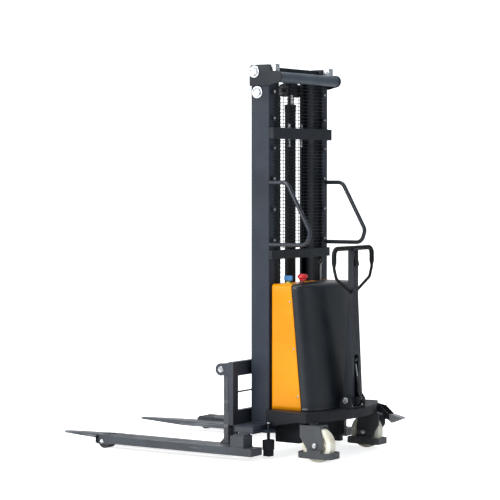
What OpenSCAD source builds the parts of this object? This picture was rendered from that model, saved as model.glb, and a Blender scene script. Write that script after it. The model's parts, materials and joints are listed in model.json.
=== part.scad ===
// Walkie stacker: two-stage mast, straddle legs, hinged tiller and two swivel casters.
// Built from the rear face of the outer mast: +X to the fork tips, +Y to the truck's left, +Z up.

/* [Mast] */
// Height of the closed mast over the floor
mast_h = 2080; // [1750:10:2450]
// Width over the two outer uprights
mast_w = 600; // [560:5:700]
// Depth of an outer upright, front to back
upright_d = 112; // [100:1:130]
// Width of an outer upright's flanges
upright_flange_w = 58; // [50:1:66]
// Thickness of an outer upright's side wall
upright_web_t = 12; // [8:1:14]
// Thickness of an outer upright's flanges
upright_flange_t = 13; // [10:1:15]
// Depth of an inner rail, front to back
rail_d = 96; // [84:1:98]
// Width of an inner rail's flanges
rail_w = 56; // [46:1:60]
// Thickness of an inner rail's walls
rail_t = 12; // [8:1:13]
// Thickness of the head plates outside the uprights
head_t = 10; // [6:1:14]
// Diameter of the round tube across the head
head_tube_d = 57; // [45:1:65]
// Height of the tube's centre below the mast top
head_tube_drop = 63; // [55:1:80]
// Height of the upper crossbar's underside below the mast top
upper_bar_drop = 388; // [320:2:440]
// Height of the lower crossbar's underside
lower_bar_z = 1052; // [1000:2:1200]
// Height of the upper crossbar
upper_bar_h = 60; // [40:2:80]
// Height of the lower crossbar
lower_bar_h = 48; // [36:2:70]
// Diameter of the zinc caps on the mast sides
cap_d = 66; // [50:1:74]

/* [Guard and grab bars] */
// Diameter of the guard wires
wire_d = 4; // [3:0.5:5]
// Spacing of the level guard wires
wire_pitch = 17.5; // [15:0.5:30]
// Spacing of the upright guard wires
wire_gap = 52; // [40:1:70]
// Height of the guard's top edge below the mast top
guard_drop = 100; // [80:2:160]
// Diameter of the grab bar tube
grab_d = 22; // [18:1:28]
// How far the grab bars stand out behind the mast
grab_reach = 250; // [180:5:300]
// Height of the grab bars' upper run
grab_top_z = 1460; // [1350:5:1550]
// Height of the grab bars' lower run
grab_low_z = 1131; // [1110:1:1200]

/* [Lift] */
// Diameter of the lift cylinder
cylinder_d = 60; // [50:1:64]
// Diameter of the lift cylinder's bore
cylinder_bore = 48; // [42:1:52]
// Diameter of the lift rod
rod_d = 35; // [28:1:40]
// Height of the cylinder's top end below the mast top
cylinder_drop = 197; // [190:1:260]
// Radius of the chain wheels' groove
sheave_r = 27; // [24:1:30]
// Width of the lift chains
chain_w = 16; // [12:1:20]
// Thickness of the lift chains
chain_t = 9; // [6:0.5:10]
// Distance of each chain from the centreline
chain_y = 61; // [50:1:70]

/* [Carriage and forks] */
// Width over the fork carriage
carriage_w = 860; // [780:5:900]
// Height of the carriage's top edge
carriage_top_z = 507; // [480:1:560]
// Height of the carriage's bottom edge
carriage_low_z = 172; // [150:1:200]
// Height of the carriage bars
carriage_bar_h = 75; // [60:1:85]
// Thickness of the carriage bars
carriage_bar_t = 30; // [20:1:34]
// Diameter of the fork shaft
fork_shaft_d = 36; // [28:1:42]
// Distance of each fork's centre from the centreline
fork_y = 365; // [340:1:370]
// Width of a fork
fork_w = 98; // [80:1:102]
// Thickness of a fork
fork_t = 28; // [22:1:32]
// Reach of the fork tips in front of the mast's rear face
fork_reach = 1333; // [1150:1:1600]
// Height of the forks' top face when lowered
fork_top_z = 58; // [54:1:80]

/* [Legs] */
// Width over the two straddle legs
leg_span = 1084; // [1070:2:1200]
// Width of a straddle leg
leg_w = 106; // [90:1:110]
// Height of a leg's underside over the floor
leg_low_z = 30; // [25:1:36]
// Height of a leg's top face over the floor
leg_top_z = 71; // [66:1:76]
// Reach of the legs in front of the mast's rear face
leg_reach = 978; // [860:1:1180]
// Wall of the leg section
leg_wall = 8; // [5:1:10]
// Diameter of a load roller
load_roller_d = 80; // [70:1:86]
// Width of a load roller
load_roller_w = 66; // [50:1:70]
// Diameter of a load roller's axle
load_axle_d = 20; // [16:1:24]

/* [Chassis and covers] */
// Height of the deck's top over the floor
deck_z = 255; // [245:1:290]
// Depth of the deck's skirt
skirt_h = 48; // [40:1:52]
// Half width of the deck at its rear corners
deck_half_w = 379; // [360:1:410]
// How far the deck's rear centre lies behind the mast
deck_reach = 390; // [370:1:430]
// Thickness of the deck plate and skirt
deck_t = 8; // [5:1:10]
// Height of the covers' top
cover_top_z = 922; // [800:2:960]
// Width over the covers
cover_w = 568; // [520:2:580]
// Wall of the covers
cover_wall = 4; // [3:0.5:5]
// Seam between the covers, behind the mast, at the top
seam_top = 128; // [110:1:135]
// Seam between the covers, behind the mast, at the deck
seam_low = 192; // [170:1:200]
// Rear of the cover at its top
cover_rear_top = 222; // [215:1:240]
// Rear of the cover at the deck
cover_rear_low = 296; // [275:1:300]

/* [Tiller] */
// Distance of the tiller pivot behind the mast
tiller_back = 342; // [338:1:350]
// Height of the tiller pivot over the floor
tiller_pivot_z = 300; // [294:1:320]
// Height of the handle's top over the floor
handle_top_z = 1124; // [1000:2:1240]
// Half width of the handle loop
handle_half_w = 212; // [170:1:240]
// Height of the handle loop
handle_h = 236; // [200:2:280]
// Diameter of the grip bar
grip_d = 27; // [22:1:34]
// Diameter of the handle's lower rods
handle_rod_d = 15; // [12:1:20]
// Width of the tiller arm at the handle
arm_top_w = 50; // [48:1:60]
// Width of the tiller arm at its foot
arm_foot_w = 118; // [108:1:120]
// Depth of the tiller arm at its foot, front to back
arm_d = 46; // [46:1:52]
// Depth of the tiller arm at the handle, front to back
arm_top_d = 35; // [33:1:40]

/* [Casters] */
// Diameter of a caster wheel
caster_d = 180; // [160:1:184]
// Width of a caster wheel
caster_w = 56; // [44:1:60]
// Distance of the swivel axes behind the mast
caster_back = 285; // [275:1:295]
// Distance of each swivel axis from the centreline
caster_y = 316; // [300:1:320]
// Trail of the wheel behind its swivel axis
caster_trail = 36; // [25:1:42]
// Diameter of a caster axle
caster_axle_d = 20; // [16:1:24]

/* [Hidden] */
$fn = 48;

// Clearances: fit is a running fit on a shaft, slip is between faces that pass each other.
fit = 0.05;
slip = 0.4;

// The brake pedal is the rearmost point, so the frame's origin lies midway to the fork tips.
pedal_reach = 478;
shift_x = (pedal_reach - fork_reach) / 2;

// Heights that follow the mast top.
upper_bar_z = mast_h - upper_bar_drop;
guard_top_z = mast_h - guard_drop;
cylinder_top_z = mast_h - cylinder_drop;
up_y = mast_w / 2;

module at_mast() { translate([shift_x, 0, 0]) children(); }
module both_sides() {
    children();
    mirror([0, 1, 0]) children();
}
module box(x, y, z) { translate([x[0], y[0], z[0]]) cube([x[1] - x[0], y[1] - y[0], z[1] - z[0]]); }
module y_rod(x, z, d, y0, y1) { translate([x, y0, z]) rotate([-90, 0, 0]) cylinder(d = d, h = y1 - y0); }
module side_plate(y0, t) { translate([0, y0 + t, 0]) rotate([90, 0, 0]) linear_extrude(t) children(); }

// ---- Cross beam: the box section that carries the mast and the two legs ----
beam_low_z = 140;
beam_top_z = 180;
beam_x = [-13, upright_d];
beam_end_y = leg_span / 2 - 72;
beam_wall = 6;
foot_slot = 30;
bar_x = [beam_x[0] + beam_wall + slip, beam_x[1] - beam_wall - slip];
bar_z = [beam_low_z + beam_wall + slip, beam_top_z - beam_wall - slip];
bar_in_y = 160;
jack_x = -36;
jack_y = up_y + 60;
jack_screw_d = 18;
jack_plate_t = 14;

module cross_beam() color("dimgray") at_mast() difference() {
    union() {
        box(beam_x, [-beam_end_y, beam_end_y], [beam_low_z, beam_top_z]);
        both_sides() box([jack_x - 24, beam_x[0]], [jack_y - 30, jack_y + 30],
            [beam_low_z, beam_low_z + jack_plate_t]);
    }
    both_sides() box([bar_x[0] - slip, bar_x[1] + slip], [bar_in_y - 6, beam_end_y + 1],
        [bar_z[0] - slip, bar_z[1] + slip]);
    both_sides() box([bar_x[0] + 8, bar_x[1] - 8], [beam_end_y - foot_slot, beam_end_y + 1],
        [beam_low_z - 1, bar_z[0]]);
    both_sides() translate([jack_x, jack_y, beam_low_z - 1])
        cylinder(d = jack_screw_d + 2 * fit, h = jack_plate_t + 2);
}

// A screw that steadies the truck beside the mast, with its nut and square foot.
module jack_screw(side) color("gray") at_mast() translate([jack_x, side * jack_y, 0]) {
    translate([0, 0, 96]) cylinder(d = jack_screw_d, h = 100);
    difference() {
        box([-22, 22], [-27, 27], [14, 102]);
        box([-23, 23], [-28, -19], [13, 48]);
        box([-23, 23], [19, 28], [13, 48]);
    }
}
module jack_screw_left() jack_screw(1);
module jack_screw_right() jack_screw(-1);

// ---- Chassis: the curved deck with its skirt, and the belly box under it ----
arc_r = (deck_half_w * deck_half_w + 110 * 110) / (2 * 110);
belly_half_w = 236;
belly_low_z = 74;
belly_back = -150;
boss_d = 56;
pin_d = 30;
caster_top_z = 204;

module deck_outline(inset) intersection() {
    polygon([[-slip, up_y + 30 - inset], [-240, deck_half_w - inset], [-600, deck_half_w - inset],
        [-600, inset - deck_half_w], [-240, inset - deck_half_w], [-slip, inset - up_y - 30]]);
    translate([arc_r - deck_reach, 0]) circle(r = arc_r - inset, $fn = 96);
}
module skirt_drop() side_plate(-500, 1000)
    polygon([[-600, deck_z - 200], [-600, deck_z - skirt_h], [-230, deck_z - skirt_h], [1, 164],
        [1, deck_z - 200]]);

// Ears behind the right caster that carry the foot brake's pin.
module pedal_bracket() translate([-caster_back, 0])
    polygon([[-14, deck_z - 10], [-14, deck_z - skirt_h + 2], [-80, crown_z + 12],
    [-88, pedal_z - 12], [pedal_pin - 16, pedal_z - 12], [pedal_pin - 16, pedal_z + 16],
        [-68, deck_z - 20]]);
module chassis_frame() color("darkslategray") at_mast() {
    difference() {
        union() {
            difference() {
                translate([0, 0, 160]) linear_extrude(deck_z - 160) deck_outline(0);
                translate([0, 0, 150]) linear_extrude(deck_z - 150 - deck_t) deck_outline(deck_t);
                skirt_drop();
            }
            both_sides() translate([-caster_back, caster_y, caster_top_z])
                cylinder(d = boss_d, h = deck_z - caster_top_z - 2);
            both_sides() box([belly_back, -slip], [belly_half_w - 6, belly_half_w],
                [belly_low_z, deck_z - 2]);
            box([belly_back, belly_back + 6], [-belly_half_w, belly_half_w], [belly_low_z, deck_z - 2]);
            box([belly_back, beam_x[0] - slip], [-belly_half_w, belly_half_w],
                [belly_low_z, belly_low_z + 6]);
            for (s = [-1, 1]) side_plate(s > 0 ? 24 - caster_y : -31 - caster_y, 7) pedal_bracket();
        }
        both_sides() translate([-caster_back, caster_y, caster_top_z - 1])
            cylinder(d = pin_d + 2 * fit, h = deck_z - caster_top_z - 4);
        both_sides() box([beam_x[0] - slip, 10], [0, 600], [beam_low_z - slip, beam_top_z + slip]);
        both_sides() box([-slip, 10], [0, 600], [0, deck_z + 10]);
    }
    y_rod(pedal_pin - caster_back, pedal_z, pedal_pin_d, -31 - caster_y, 31 - caster_y);
}

// ---- Outer mast ----
module upright(side) {
    z0 = beam_top_z;
    inner_y = up_y - upright_flange_w;
    mirror([0, side < 0 ? 1 : 0, 0]) difference() {
        box([0, upright_d], [inner_y, up_y], [z0, mast_h]);
        box([upright_flange_t, upright_d - upright_flange_t], [inner_y - 1, up_y - upright_web_t],
            [z0 - 1, mast_h + 1]);
    }
}
module mast_upright_left() color("darkslategray") at_mast() upright(1);
module mast_upright_right() color("darkslategray") at_mast() upright(-1);

tube_x = -50;
tube_z = mast_h - head_tube_drop;
head_low_z = mast_h - 107;
head_top_z = mast_h + 5;
module head_outline() {
    polygon([[118, head_low_z], [118, head_top_z - 12], [106, head_top_z], [-6, head_top_z],
        [-18, tube_z + 34], [tube_x, tube_z + 33], [tube_x, tube_z - 33], [-8, head_low_z]]);
    translate([tube_x, tube_z]) circle(d = 66);
}
module head_plates() color("darkslategray") at_mast() both_sides()
    side_plate(up_y, head_t) head_outline();
module head_tube() color("dimgray") at_mast() difference() {
    y_rod(tube_x, tube_z, head_tube_d, -up_y, up_y);
    y_rod(tube_x, tube_z, head_tube_d - 8, -up_y - 1, up_y + 1);
}

lug_x = 30;
lug_half_w = chain_y + 24;
module mast_crossbars() color("darkslategray") at_mast() {
    box([-29, 0], [-up_y, up_y], [upper_bar_z, upper_bar_z + upper_bar_h]);
    both_sides() box([0, lug_x], [cylinder_d / 2 + 6, lug_half_w],
        [upper_bar_z + 16, upper_bar_z + upper_bar_h]);
    box([-18, 0], [-up_y, up_y], [lower_bar_z, lower_bar_z + lower_bar_h]);
}

cap_t = 7;
block_z = [tube_z + head_tube_d / 2 + slip, mast_h + 7];
module mast_caps() color("silver") at_mast() {
    both_sides() y_rod(86, mast_h - 32, cap_d, up_y + head_t, up_y + head_t + cap_t);
    both_sides() y_rod(72, mast_h - 141, cap_d, up_y, up_y + cap_t);
    both_sides() box([-38, -slip], [up_y - 46, up_y - 4], block_z);
}

// ---- Wire guard in two panels, with its clips ----
panel_low = [lower_bar_z + lower_bar_h + 10, upper_bar_z - 6];
panel_top = [upper_bar_z + upper_bar_h + 6, guard_top_z];
guard_y = up_y - 38;
guard_uprights = floor((up_y - upright_flange_w - wire_d) / wire_gap);
weld = 0.05;
module guard_panel(z) {
    rows = floor((z[1] - z[0]) / wire_pitch);
    pitch = (z[1] - z[0]) / rows;
    for (i = [0:rows]) y_rod(-wire_d / 2, z[0] + i * pitch, wire_d, -guard_y, guard_y);
    for (i = [-guard_uprights:guard_uprights]) translate([wire_d / 2 + weld, i * wire_gap, z[0]])
        cylinder(d = wire_d, h = z[1] - z[0]);
}
module mesh_guard() color("black") at_mast() {
    guard_panel(panel_low);
    guard_panel(panel_top);
}
clip_t = 3;
clip_z = concat([for (i = [0:3]) panel_low[0] + 42 + i * (panel_low[1] - panel_low[0] - 84) / 3],
    [panel_top[0] + 44, panel_top[1] - 38]);
module guard_clips() color("silver") at_mast() both_sides() for (z = clip_z) {
    box([-wire_d - clip_t, -wire_d], [guard_y - 24, guard_y + 12], [z - 14, z + 14]);
    translate([-wire_d - clip_t - 5, guard_y - 4, z]) rotate([0, 90, 0]) cylinder(d = 13, h = 5, $fn = 6);
}

// ---- Grab bars: one bent tube each side, with round feet on the uprights ----
grab_y = up_y - 12;
grab_bend = 45;
grab_pts = [[-6, grab_top_z], [-105, grab_top_z], [-grab_reach, 1200], [-228, grab_low_z],
    [-6, grab_low_z]];

function unit(v) = v / norm(v);
// Distance from a corner to where a bend of radius r leaves each straight.
function trim_at(a, b, c, r) = r * tan((180 - acos(unit(a - b) * unit(c - b))) / 2);
function bend_at(a, b, c, r, n) =
    let (u = unit(b - a), w = unit(c - b), turn = sign(u[0] * w[1] - u[1] * w[0]),
        start = b - u * trim_at(a, b, c, r), mid = start + r * turn * [-u[1], u[0]],
        first = atan2(start[1] - mid[1], start[0] - mid[0]), swing = turn * acos(u * w))
    [for (k = [0:n]) mid + r * [cos(first + swing * k / n), sin(first + swing * k / n)]];
function bent_route(p, r, n) = concat([p[0]],
    [for (i = [1:len(p) - 2]) each bend_at(p[i - 1], p[i], p[i + 1], r, n)], [p[len(p) - 1]]);

// A round bar carried along a route that lies in an upright plane facing the side.
module swept_bar(route, y, d, sides) {
    n = len(route);
    function along(i) = unit(unit(route[min(i + 1, n - 1)] - route[min(i, n - 2)])
        + unit(route[max(i, 1)] - route[max(i - 1, 0)]));
    pts = [for (i = [0:n - 1], k = [0:sides - 1]) let (u = along(i), t = 360 * k / sides)
        [route[i][0] - u[1] * cos(t) * d / 2, y + sin(t) * d / 2, route[i][1] + u[0] * cos(t) * d / 2]];
    walls = [for (i = [0:n - 2], k = [0:sides - 1]) let (j = (k + 1) % sides)
        [i * sides + k, i * sides + j, (i + 1) * sides + j, (i + 1) * sides + k]];
    ends = [[for (k = [sides - 1:-1:0]) k], [for (k = [0:sides - 1]) (n - 1) * sides + k]];
    polyhedron(pts, concat(walls, ends), convexity = 4);
}
module xz_rod(a, b, y, d) {
    v = b - a;
    translate([a[0], y, a[1]]) rotate([0, atan2(v[0], v[1]), 0]) cylinder(d = d, h = norm(v));
}
module grab_bar(side) {
    swept_bar(bent_route(grab_pts, grab_bend, 6), side * grab_y, grab_d, 16);
    for (z = [grab_top_z, grab_low_z])
        translate([-6, side * grab_y, z]) rotate([0, 90, 0]) cylinder(d = grab_d + 2, h = 6);
}
module grab_bar_left() color("slategray") at_mast() grab_bar(1);
module grab_bar_right() color("slategray") at_mast() grab_bar(-1);

// ---- Covers ----
cover_y = cover_w / 2;
cover_front = -8;
cover_round = 18;
lever_x = -62;
lever_y = -128;
lever_slot = [46, 14];
key_x = -64;
key_y = 206;
estop_x = -152;
estop_y = 205;
panel_hole_d = 16;

module arch(inset) {
    w = cover_y - inset;
    h = cover_top_z - inset;
    r = cover_round - inset;
    polygon([[-w, deck_z], [w, deck_z], [w, h - r], [w - r, h - r], [w - r, h], [r - w, h],
        [r - w, h - r], [-w, h - r]]);
    translate([w - r, h - r]) circle(r = r);
    translate([r - w, h - r]) circle(r = r);
}
module arch_solid(inset, x) translate([x[0], 0, 0]) rotate([90, 0, 90]) linear_extrude(x[1] - x[0])
    arch(inset);
module behind_seam(gap) side_plate(-500, 1000)
    polygon([[-seam_top - gap, cover_top_z + 40], [-seam_low - gap, deck_z - 1], [-900, deck_z - 1],
        [-900, cover_top_z + 40]]);

module front_cover() color("orange") at_mast() difference() {
    arch_solid(0, [-seam_low - 5, cover_front]);
    difference() {
        arch_solid(cover_wall, [-seam_low - 6, cover_front + 1]);
        box([-400, 10], [-400, 400], [deck_z - 10, deck_z]);
    }
    behind_seam(0);
    box([lever_x - lever_slot[0] / 2, lever_x + lever_slot[0] / 2],
        [lever_y - lever_slot[1] / 2, lever_y + lever_slot[1] / 2], [cover_top_z - 20, cover_top_z + 5]);
    translate([key_x, key_y, cover_top_z - 20]) cylinder(d = panel_hole_d, h = 30);
}

// The rear cover is drawn in, top and bottom, from one outline with a bowed rear edge.
module cover_plan(seam, rear, half_w, round) {
    bow = rear - 34;
    hull() {
        for (s = [-1, 1]) translate([-seam - 1, s * (half_w - 1)]) circle(r = 1, $fn = 13);
        for (s = [-1, 1]) translate([round - bow, s * (half_w - round)]) circle(r = round, $fn = 32);
        for (s = [-1, 1]) translate([40 - rear, s * half_w / 3]) circle(r = 34, $fn = 32);
        translate([34 - rear, 0]) circle(r = 34, $fn = 32);
    }
}
module cover_body(inset, extra) hull() {
    translate([0, 0, deck_z]) linear_extrude(1)
        cover_plan(seam_low - extra, cover_rear_low - inset, cover_y - inset, 40);
    translate([0, 0, cover_top_z - inset - 20]) linear_extrude(1)
        cover_plan(seam_top - extra, cover_rear_top - inset, cover_y - inset, 40);
    translate([0, 0, cover_top_z - inset - 1]) linear_extrude(1)
        cover_plan(seam_top - extra, cover_rear_top - 18 - inset, cover_y - 18 - inset, 30);
}
module rear_cover() color("black") at_mast() difference() {
    cover_body(0, 0);
    difference() {
        cover_body(cover_wall, 40);
        box([-500, 100], [-400, 400], [deck_z - 10, deck_z]);
    }
    translate([0, 0, -1]) difference() {
        box([-seam_low - 2, 200], [-400, 400], [deck_z, cover_top_z + 20]);
        behind_seam(0.4);
    }
    translate([estop_x, estop_y, cover_top_z - 20]) cylinder(d = panel_hole_d, h = 30);
}

screw_z = [830, 582, 330];
function seam_at(z) = seam_low + (seam_top - seam_low) * (z - deck_z) / (cover_top_z - deck_z);
module cover_screws() color("silver") at_mast() both_sides() for (z = screw_z)
    y_rod(-seam_at(z) + 14, z, 9, cover_y, cover_y + 2.5);

// ---- What the covers hold ----
battery_x = [-186, -16];
battery_y = [24, cover_y - 20];
battery_top_z = deck_z + 205;
module battery() color("dimgray") at_mast() {
    box(battery_x, battery_y, [deck_z, battery_top_z]);
    for (y = battery_y + [36, -36]) translate([-40, y, battery_top_z]) cylinder(d = 18, h = 16);
}
tank_top_z = deck_z + 150;
module oil_tank() color("gray") at_mast() {
    box(battery_x, [28 - cover_y, -36], [deck_z, tank_top_z]);
    translate([-160, -60, tank_top_z]) cylinder(d = 34, h = 18);
}
block_top_z = tank_top_z + 62;
module pump_motor() color("silver") at_mast() translate([-100, -150, 0]) {
    box([-48, 48], [-50, 50], [tank_top_z, block_top_z]);
    translate([0, 0, block_top_z]) cylinder(d = 112, h = 170);
    translate([0, 62, tank_top_z + 31]) rotate([90, 0, 0]) cylinder(d = 22, h = 14);
}
module charger() color("gray") at_mast() {
    case_y = [60, battery_y[1] - 34];
    foot_z = [battery_top_z, battery_top_z + 17];
    box([-170, -20], case_y, [foot_z[1], foot_z[1] + 68]);
    for (y = case_y + [24, -26]) box([-160, -130], [y - 8, y + 8], foot_z);
    box([-62, -54], case_y + [30, -30], foot_z);
}

// ---- Lift cylinder, chains and chain wheels ----
ram_x = 55;
gland_h = 40;
module cylinder_tube() color("dimgray") at_mast() translate([ram_x, 0, 0]) {
    difference() {
        translate([0, 0, beam_top_z]) cylinder(d = cylinder_d, h = cylinder_top_z - gland_h - beam_top_z);
        translate([0, 0, beam_top_z + 20]) cylinder(d = cylinder_bore, h = cylinder_top_z);
    }
    translate([0, 0, cylinder_top_z - gland_h]) difference() {
        cylinder(d = cylinder_d + 3, h = gland_h);
        translate([0, 0, -1]) cylinder(d = rod_d + 2 * fit, h = gland_h + 2);
    }
}
sheave_z = cylinder_top_z + 75;
sheave_flange_r = sheave_r + 9;
axle_d = 22;
head_bar_z = mast_h - 42;
head_bar_h = 36;
module lift_rod() color("silver") at_mast() translate([ram_x, 0, 0]) {
    translate([0, 0, 240]) cylinder(d = cylinder_bore - 2 * fit, h = 40);
    translate([0, 0, 280]) cylinder(d = rod_d, h = sheave_z - 24 - 280);
}
module crosshead() color("dimgray") at_mast() {
    box([ram_x - 26, ram_x + 26], [-34, 34], [sheave_z - 24, head_bar_z]);
    y_rod(ram_x, sheave_z, axle_d, 34, chain_y + 20);
    y_rod(ram_x, sheave_z, axle_d, -chain_y - 20, -34);
}
module chain_wheels() color("gray") at_mast() both_sides() difference() {
    union() {
        y_rod(ram_x, sheave_z, 2 * sheave_r, chain_y - chain_w / 2 - 4.5, chain_y + chain_w / 2 + 4.5);
        y_rod(ram_x, sheave_z, 2 * sheave_flange_r, chain_y - chain_w / 2 - 4.5,
            chain_y - chain_w / 2 - 0.5);
        y_rod(ram_x, sheave_z, 2 * sheave_flange_r, chain_y + chain_w / 2 + 0.5,
            chain_y + chain_w / 2 + 4.5);
    }
    y_rod(ram_x, sheave_z, axle_d + 2 * fit, chain_y - 30, chain_y + 30);
}
chain_in = sheave_r + 0.3;
chain_out = chain_in + chain_t;
anchor_low_z = upper_bar_z - 40;
chain_low_z = carriage_top_z - 107;
module chain_rear() color("slategray") at_mast() both_sides()
    box([ram_x - chain_out, ram_x - chain_in], [chain_y - chain_w / 2, chain_y + chain_w / 2],
        [upper_bar_z + upper_bar_h + 24, sheave_z]);
module chain_front() color("slategray") at_mast() both_sides() {
    box([ram_x + chain_in, ram_x + chain_out], [chain_y - chain_w / 2, chain_y + chain_w / 2],
        [chain_low_z, sheave_z]);
    translate([ram_x, chain_y + chain_w / 2, sheave_z]) rotate([90, 0, 0])
        rotate_extrude(angle = 180, $fn = 64) translate([chain_in, 0]) square([chain_t, chain_w]);
}
module chain_anchors() color("silver") at_mast() both_sides()
    translate([ram_x - (chain_in + chain_out) / 2, chain_y, 0]) {
    translate([0, 0, anchor_low_z]) cylinder(d = 12, h = upper_bar_z + 16 - anchor_low_z);
    translate([0, 0, upper_bar_z + 2]) cylinder(d = 22, h = 14, $fn = 6);
    translate([0, 0, upper_bar_z + upper_bar_h]) cylinder(d = 18, h = 6);
    box([-5, 5], [-6, 6], [upper_bar_z + upper_bar_h + 6, upper_bar_z + upper_bar_h + 24]);
}

// ---- Inner mast and its rollers ----
rail_front_gap = 4;
rail_x = [upright_d - rail_front_gap - rail_d, upright_d - rail_front_gap];
rail_y = up_y - upright_flange_w - 4;
rail_low_z = beam_top_z + 10;
module inner_rails() color("dimgray") at_mast() both_sides() {
    difference() {
        box(rail_x, [rail_y - rail_w, rail_y], [rail_low_z, head_bar_z]);
        box([rail_x[0] + rail_t, rail_x[1] - rail_t], [rail_y - rail_w - 1, rail_y - rail_t],
            [rail_low_z - 1, head_bar_z + 1]);
    }
    for (z = mast_roller_z) y_rod(roller_x, z, stub_d, rail_y, rail_y + stub_len);
}
foot_bar_h = 50;
module inner_crossbars() color("dimgray") at_mast() {
    box([rail_x[0] + 6, rail_x[1] - 6], [-rail_y, rail_y], [head_bar_z, head_bar_z + head_bar_h]);
    box([rail_x[1] - 12, rail_x[1]], [rail_w - rail_y, rail_y - rail_w],
        [rail_low_z, rail_low_z + foot_bar_h]);
}
roller_x = upright_d / 2;
mast_roller_d = upright_d - 2 * upright_flange_t - 2 * slip;
mast_roller_w = 34;
mast_roller_z = [rail_low_z + 50, rail_low_z + 330];
stub_d = 30;
stub_len = mast_roller_w + 8;
module mast_roller_pair(z) both_sides() difference() {
    y_rod(roller_x, z, mast_roller_d, rail_y + 5, rail_y + 5 + mast_roller_w);
    y_rod(roller_x, z, stub_d + 2 * fit, rail_y, rail_y + 50);
}
module mast_rollers_low() color("gray") at_mast() mast_roller_pair(mast_roller_z[0]);
module mast_rollers_high() color("gray") at_mast() mast_roller_pair(mast_roller_z[1]);

// ---- Fork carriage ----
rail_mid_x = (rail_x[0] + rail_x[1]) / 2;
carriage_roller_d = rail_x[1] - rail_x[0] - 2 * rail_t - 2 * slip;
carriage_roller_w = 32;
carriage_roller_z = [rail_low_z + 98, rail_low_z + 280];
cheek_y = rail_y - rail_w - 18;
cheek_t = 12;
bar_front = upright_d + 60;
bar_back = bar_front - carriage_bar_t;
half_c = carriage_w / 2;
end_w = 37;
shaft_x = bar_front + 50;
shaft_z = carriage_top_z - 42;
lug_t = 12;
eye_d = 66;
mid_lug_y = 140;
module shaft_lug(y0) difference() {
    union() {
        box([bar_front - 1, shaft_x], [y0, y0 + lug_t], [shaft_z - 26, shaft_z + 26]);
        y_rod(shaft_x, shaft_z, eye_d, y0, y0 + lug_t);
    }
    y_rod(shaft_x, shaft_z, fork_shaft_d, y0 - 1, y0 + lug_t + 1);
}
module carriage_frame() color("dimgray") at_mast() {
    for (z = [carriage_low_z, carriage_top_z - carriage_bar_h])
        box([bar_back, bar_front], [-half_c + end_w, half_c - end_w], [z, z + carriage_bar_h]);
    both_sides() box([bar_back, bar_front], [half_c - end_w, half_c], [carriage_low_z, carriage_top_z]);
    y_rod(bar_back + 8, (carriage_low_z + carriage_top_z) / 2 + 6, 9, -half_c + end_w, half_c - end_w);
    both_sides() shaft_lug(half_c - lug_t);
    both_sides() shaft_lug(mid_lug_y);
    both_sides() {
        side_plate(cheek_y, cheek_t) polygon([[bar_back, carriage_low_z], [bar_back, carriage_top_z],
            [rail_x[0] + 8, carriage_top_z],
            [rail_x[0] + 8, rail_low_z + foot_bar_h + 10],
                [upright_d + 3, rail_low_z + foot_bar_h + 10], [upright_d + 3, carriage_low_z]]);
        for (z = carriage_roller_z) y_rod(rail_mid_x, z, 26, cheek_y + cheek_t,
            cheek_y + cheek_t + carriage_roller_w + 5);
        box([ram_x + chain_in - 6, ram_x + chain_out + 8], [cylinder_d / 2 + 14, cheek_y],
            [chain_low_z - 42, chain_low_z - 22]);
        translate([ram_x + (chain_in + chain_out) / 2, chain_y, chain_low_z - 22])
            cylinder(d = 16, h = 22);
    }
}
module fork_shaft() color("silver") at_mast()
    y_rod(shaft_x, shaft_z, fork_shaft_d, -half_c - 4, half_c + 4);
module carriage_roller_pair(z) both_sides() difference() {
    y_rod(rail_mid_x, z, carriage_roller_d, cheek_y + cheek_t + 4,
        cheek_y + cheek_t + 4 + carriage_roller_w);
    y_rod(rail_mid_x, z, 26 + 2 * fit, cheek_y, cheek_y + 70);
}
module carriage_rollers_low() color("gray") at_mast() carriage_roller_pair(carriage_roller_z[0]);
module carriage_rollers_high() color("gray") at_mast() carriage_roller_pair(carriage_roller_z[1]);

// ---- Forks: shank hung on the shaft, blade drawn down to a narrow tip ----
shank_back = bar_front + 12;
shank_front = shank_back + 30;
taper_x = fork_reach - 330;
tip_t = 9;
tip_w = 46;
fork_low_z = fork_top_z - fork_t;
module fork_side() {
    polygon([[shank_back, fork_low_z + 30], [shank_back + 30, fork_low_z], [taper_x, fork_low_z],
        [fork_reach, fork_top_z - 6 - tip_t],
        [fork_reach, fork_top_z - 6], [taper_x, fork_top_z], [shank_front + 38, fork_top_z],
            [shank_front, fork_top_z + 40],
        [shank_front, shaft_z], [shank_back, shaft_z]]);
    polygon([[bar_front + slip, carriage_low_z + 12], [shank_back + 1, carriage_low_z + 6],
        [shank_back + 1, carriage_low_z + 66],
        [bar_front + slip, carriage_low_z + 60]]);
}
module fork_plan() {
    nose_x = fork_reach - tip_w / 2;
    polygon([[0, -fork_w / 2], [taper_x, -fork_w / 2], [nose_x, -tip_w / 2], [nose_x, tip_w / 2],
        [taper_x, fork_w / 2], [0, fork_w / 2]]);
    translate([nose_x, 0]) circle(d = tip_w);
}
module fork(side) at_mast() translate([0, side * fork_y, 0]) difference() {
    intersection() {
        union() {
            side_plate(-fork_w / 2, fork_w) fork_side();
            y_rod(shaft_x, shaft_z, eye_d - 4, -fork_w / 2, fork_w / 2);
            box([shank_back, shaft_x], [-fork_w / 2, fork_w / 2], [shaft_z - 28, shaft_z + 10]);
        }
        linear_extrude(800) fork_plan();
    }
    y_rod(shaft_x, shaft_z, fork_shaft_d + 2 * fit, -fork_w, fork_w);
}
module fork_left() color("dimgray") fork(1);
module fork_right() color("dimgray") fork(-1);

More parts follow.
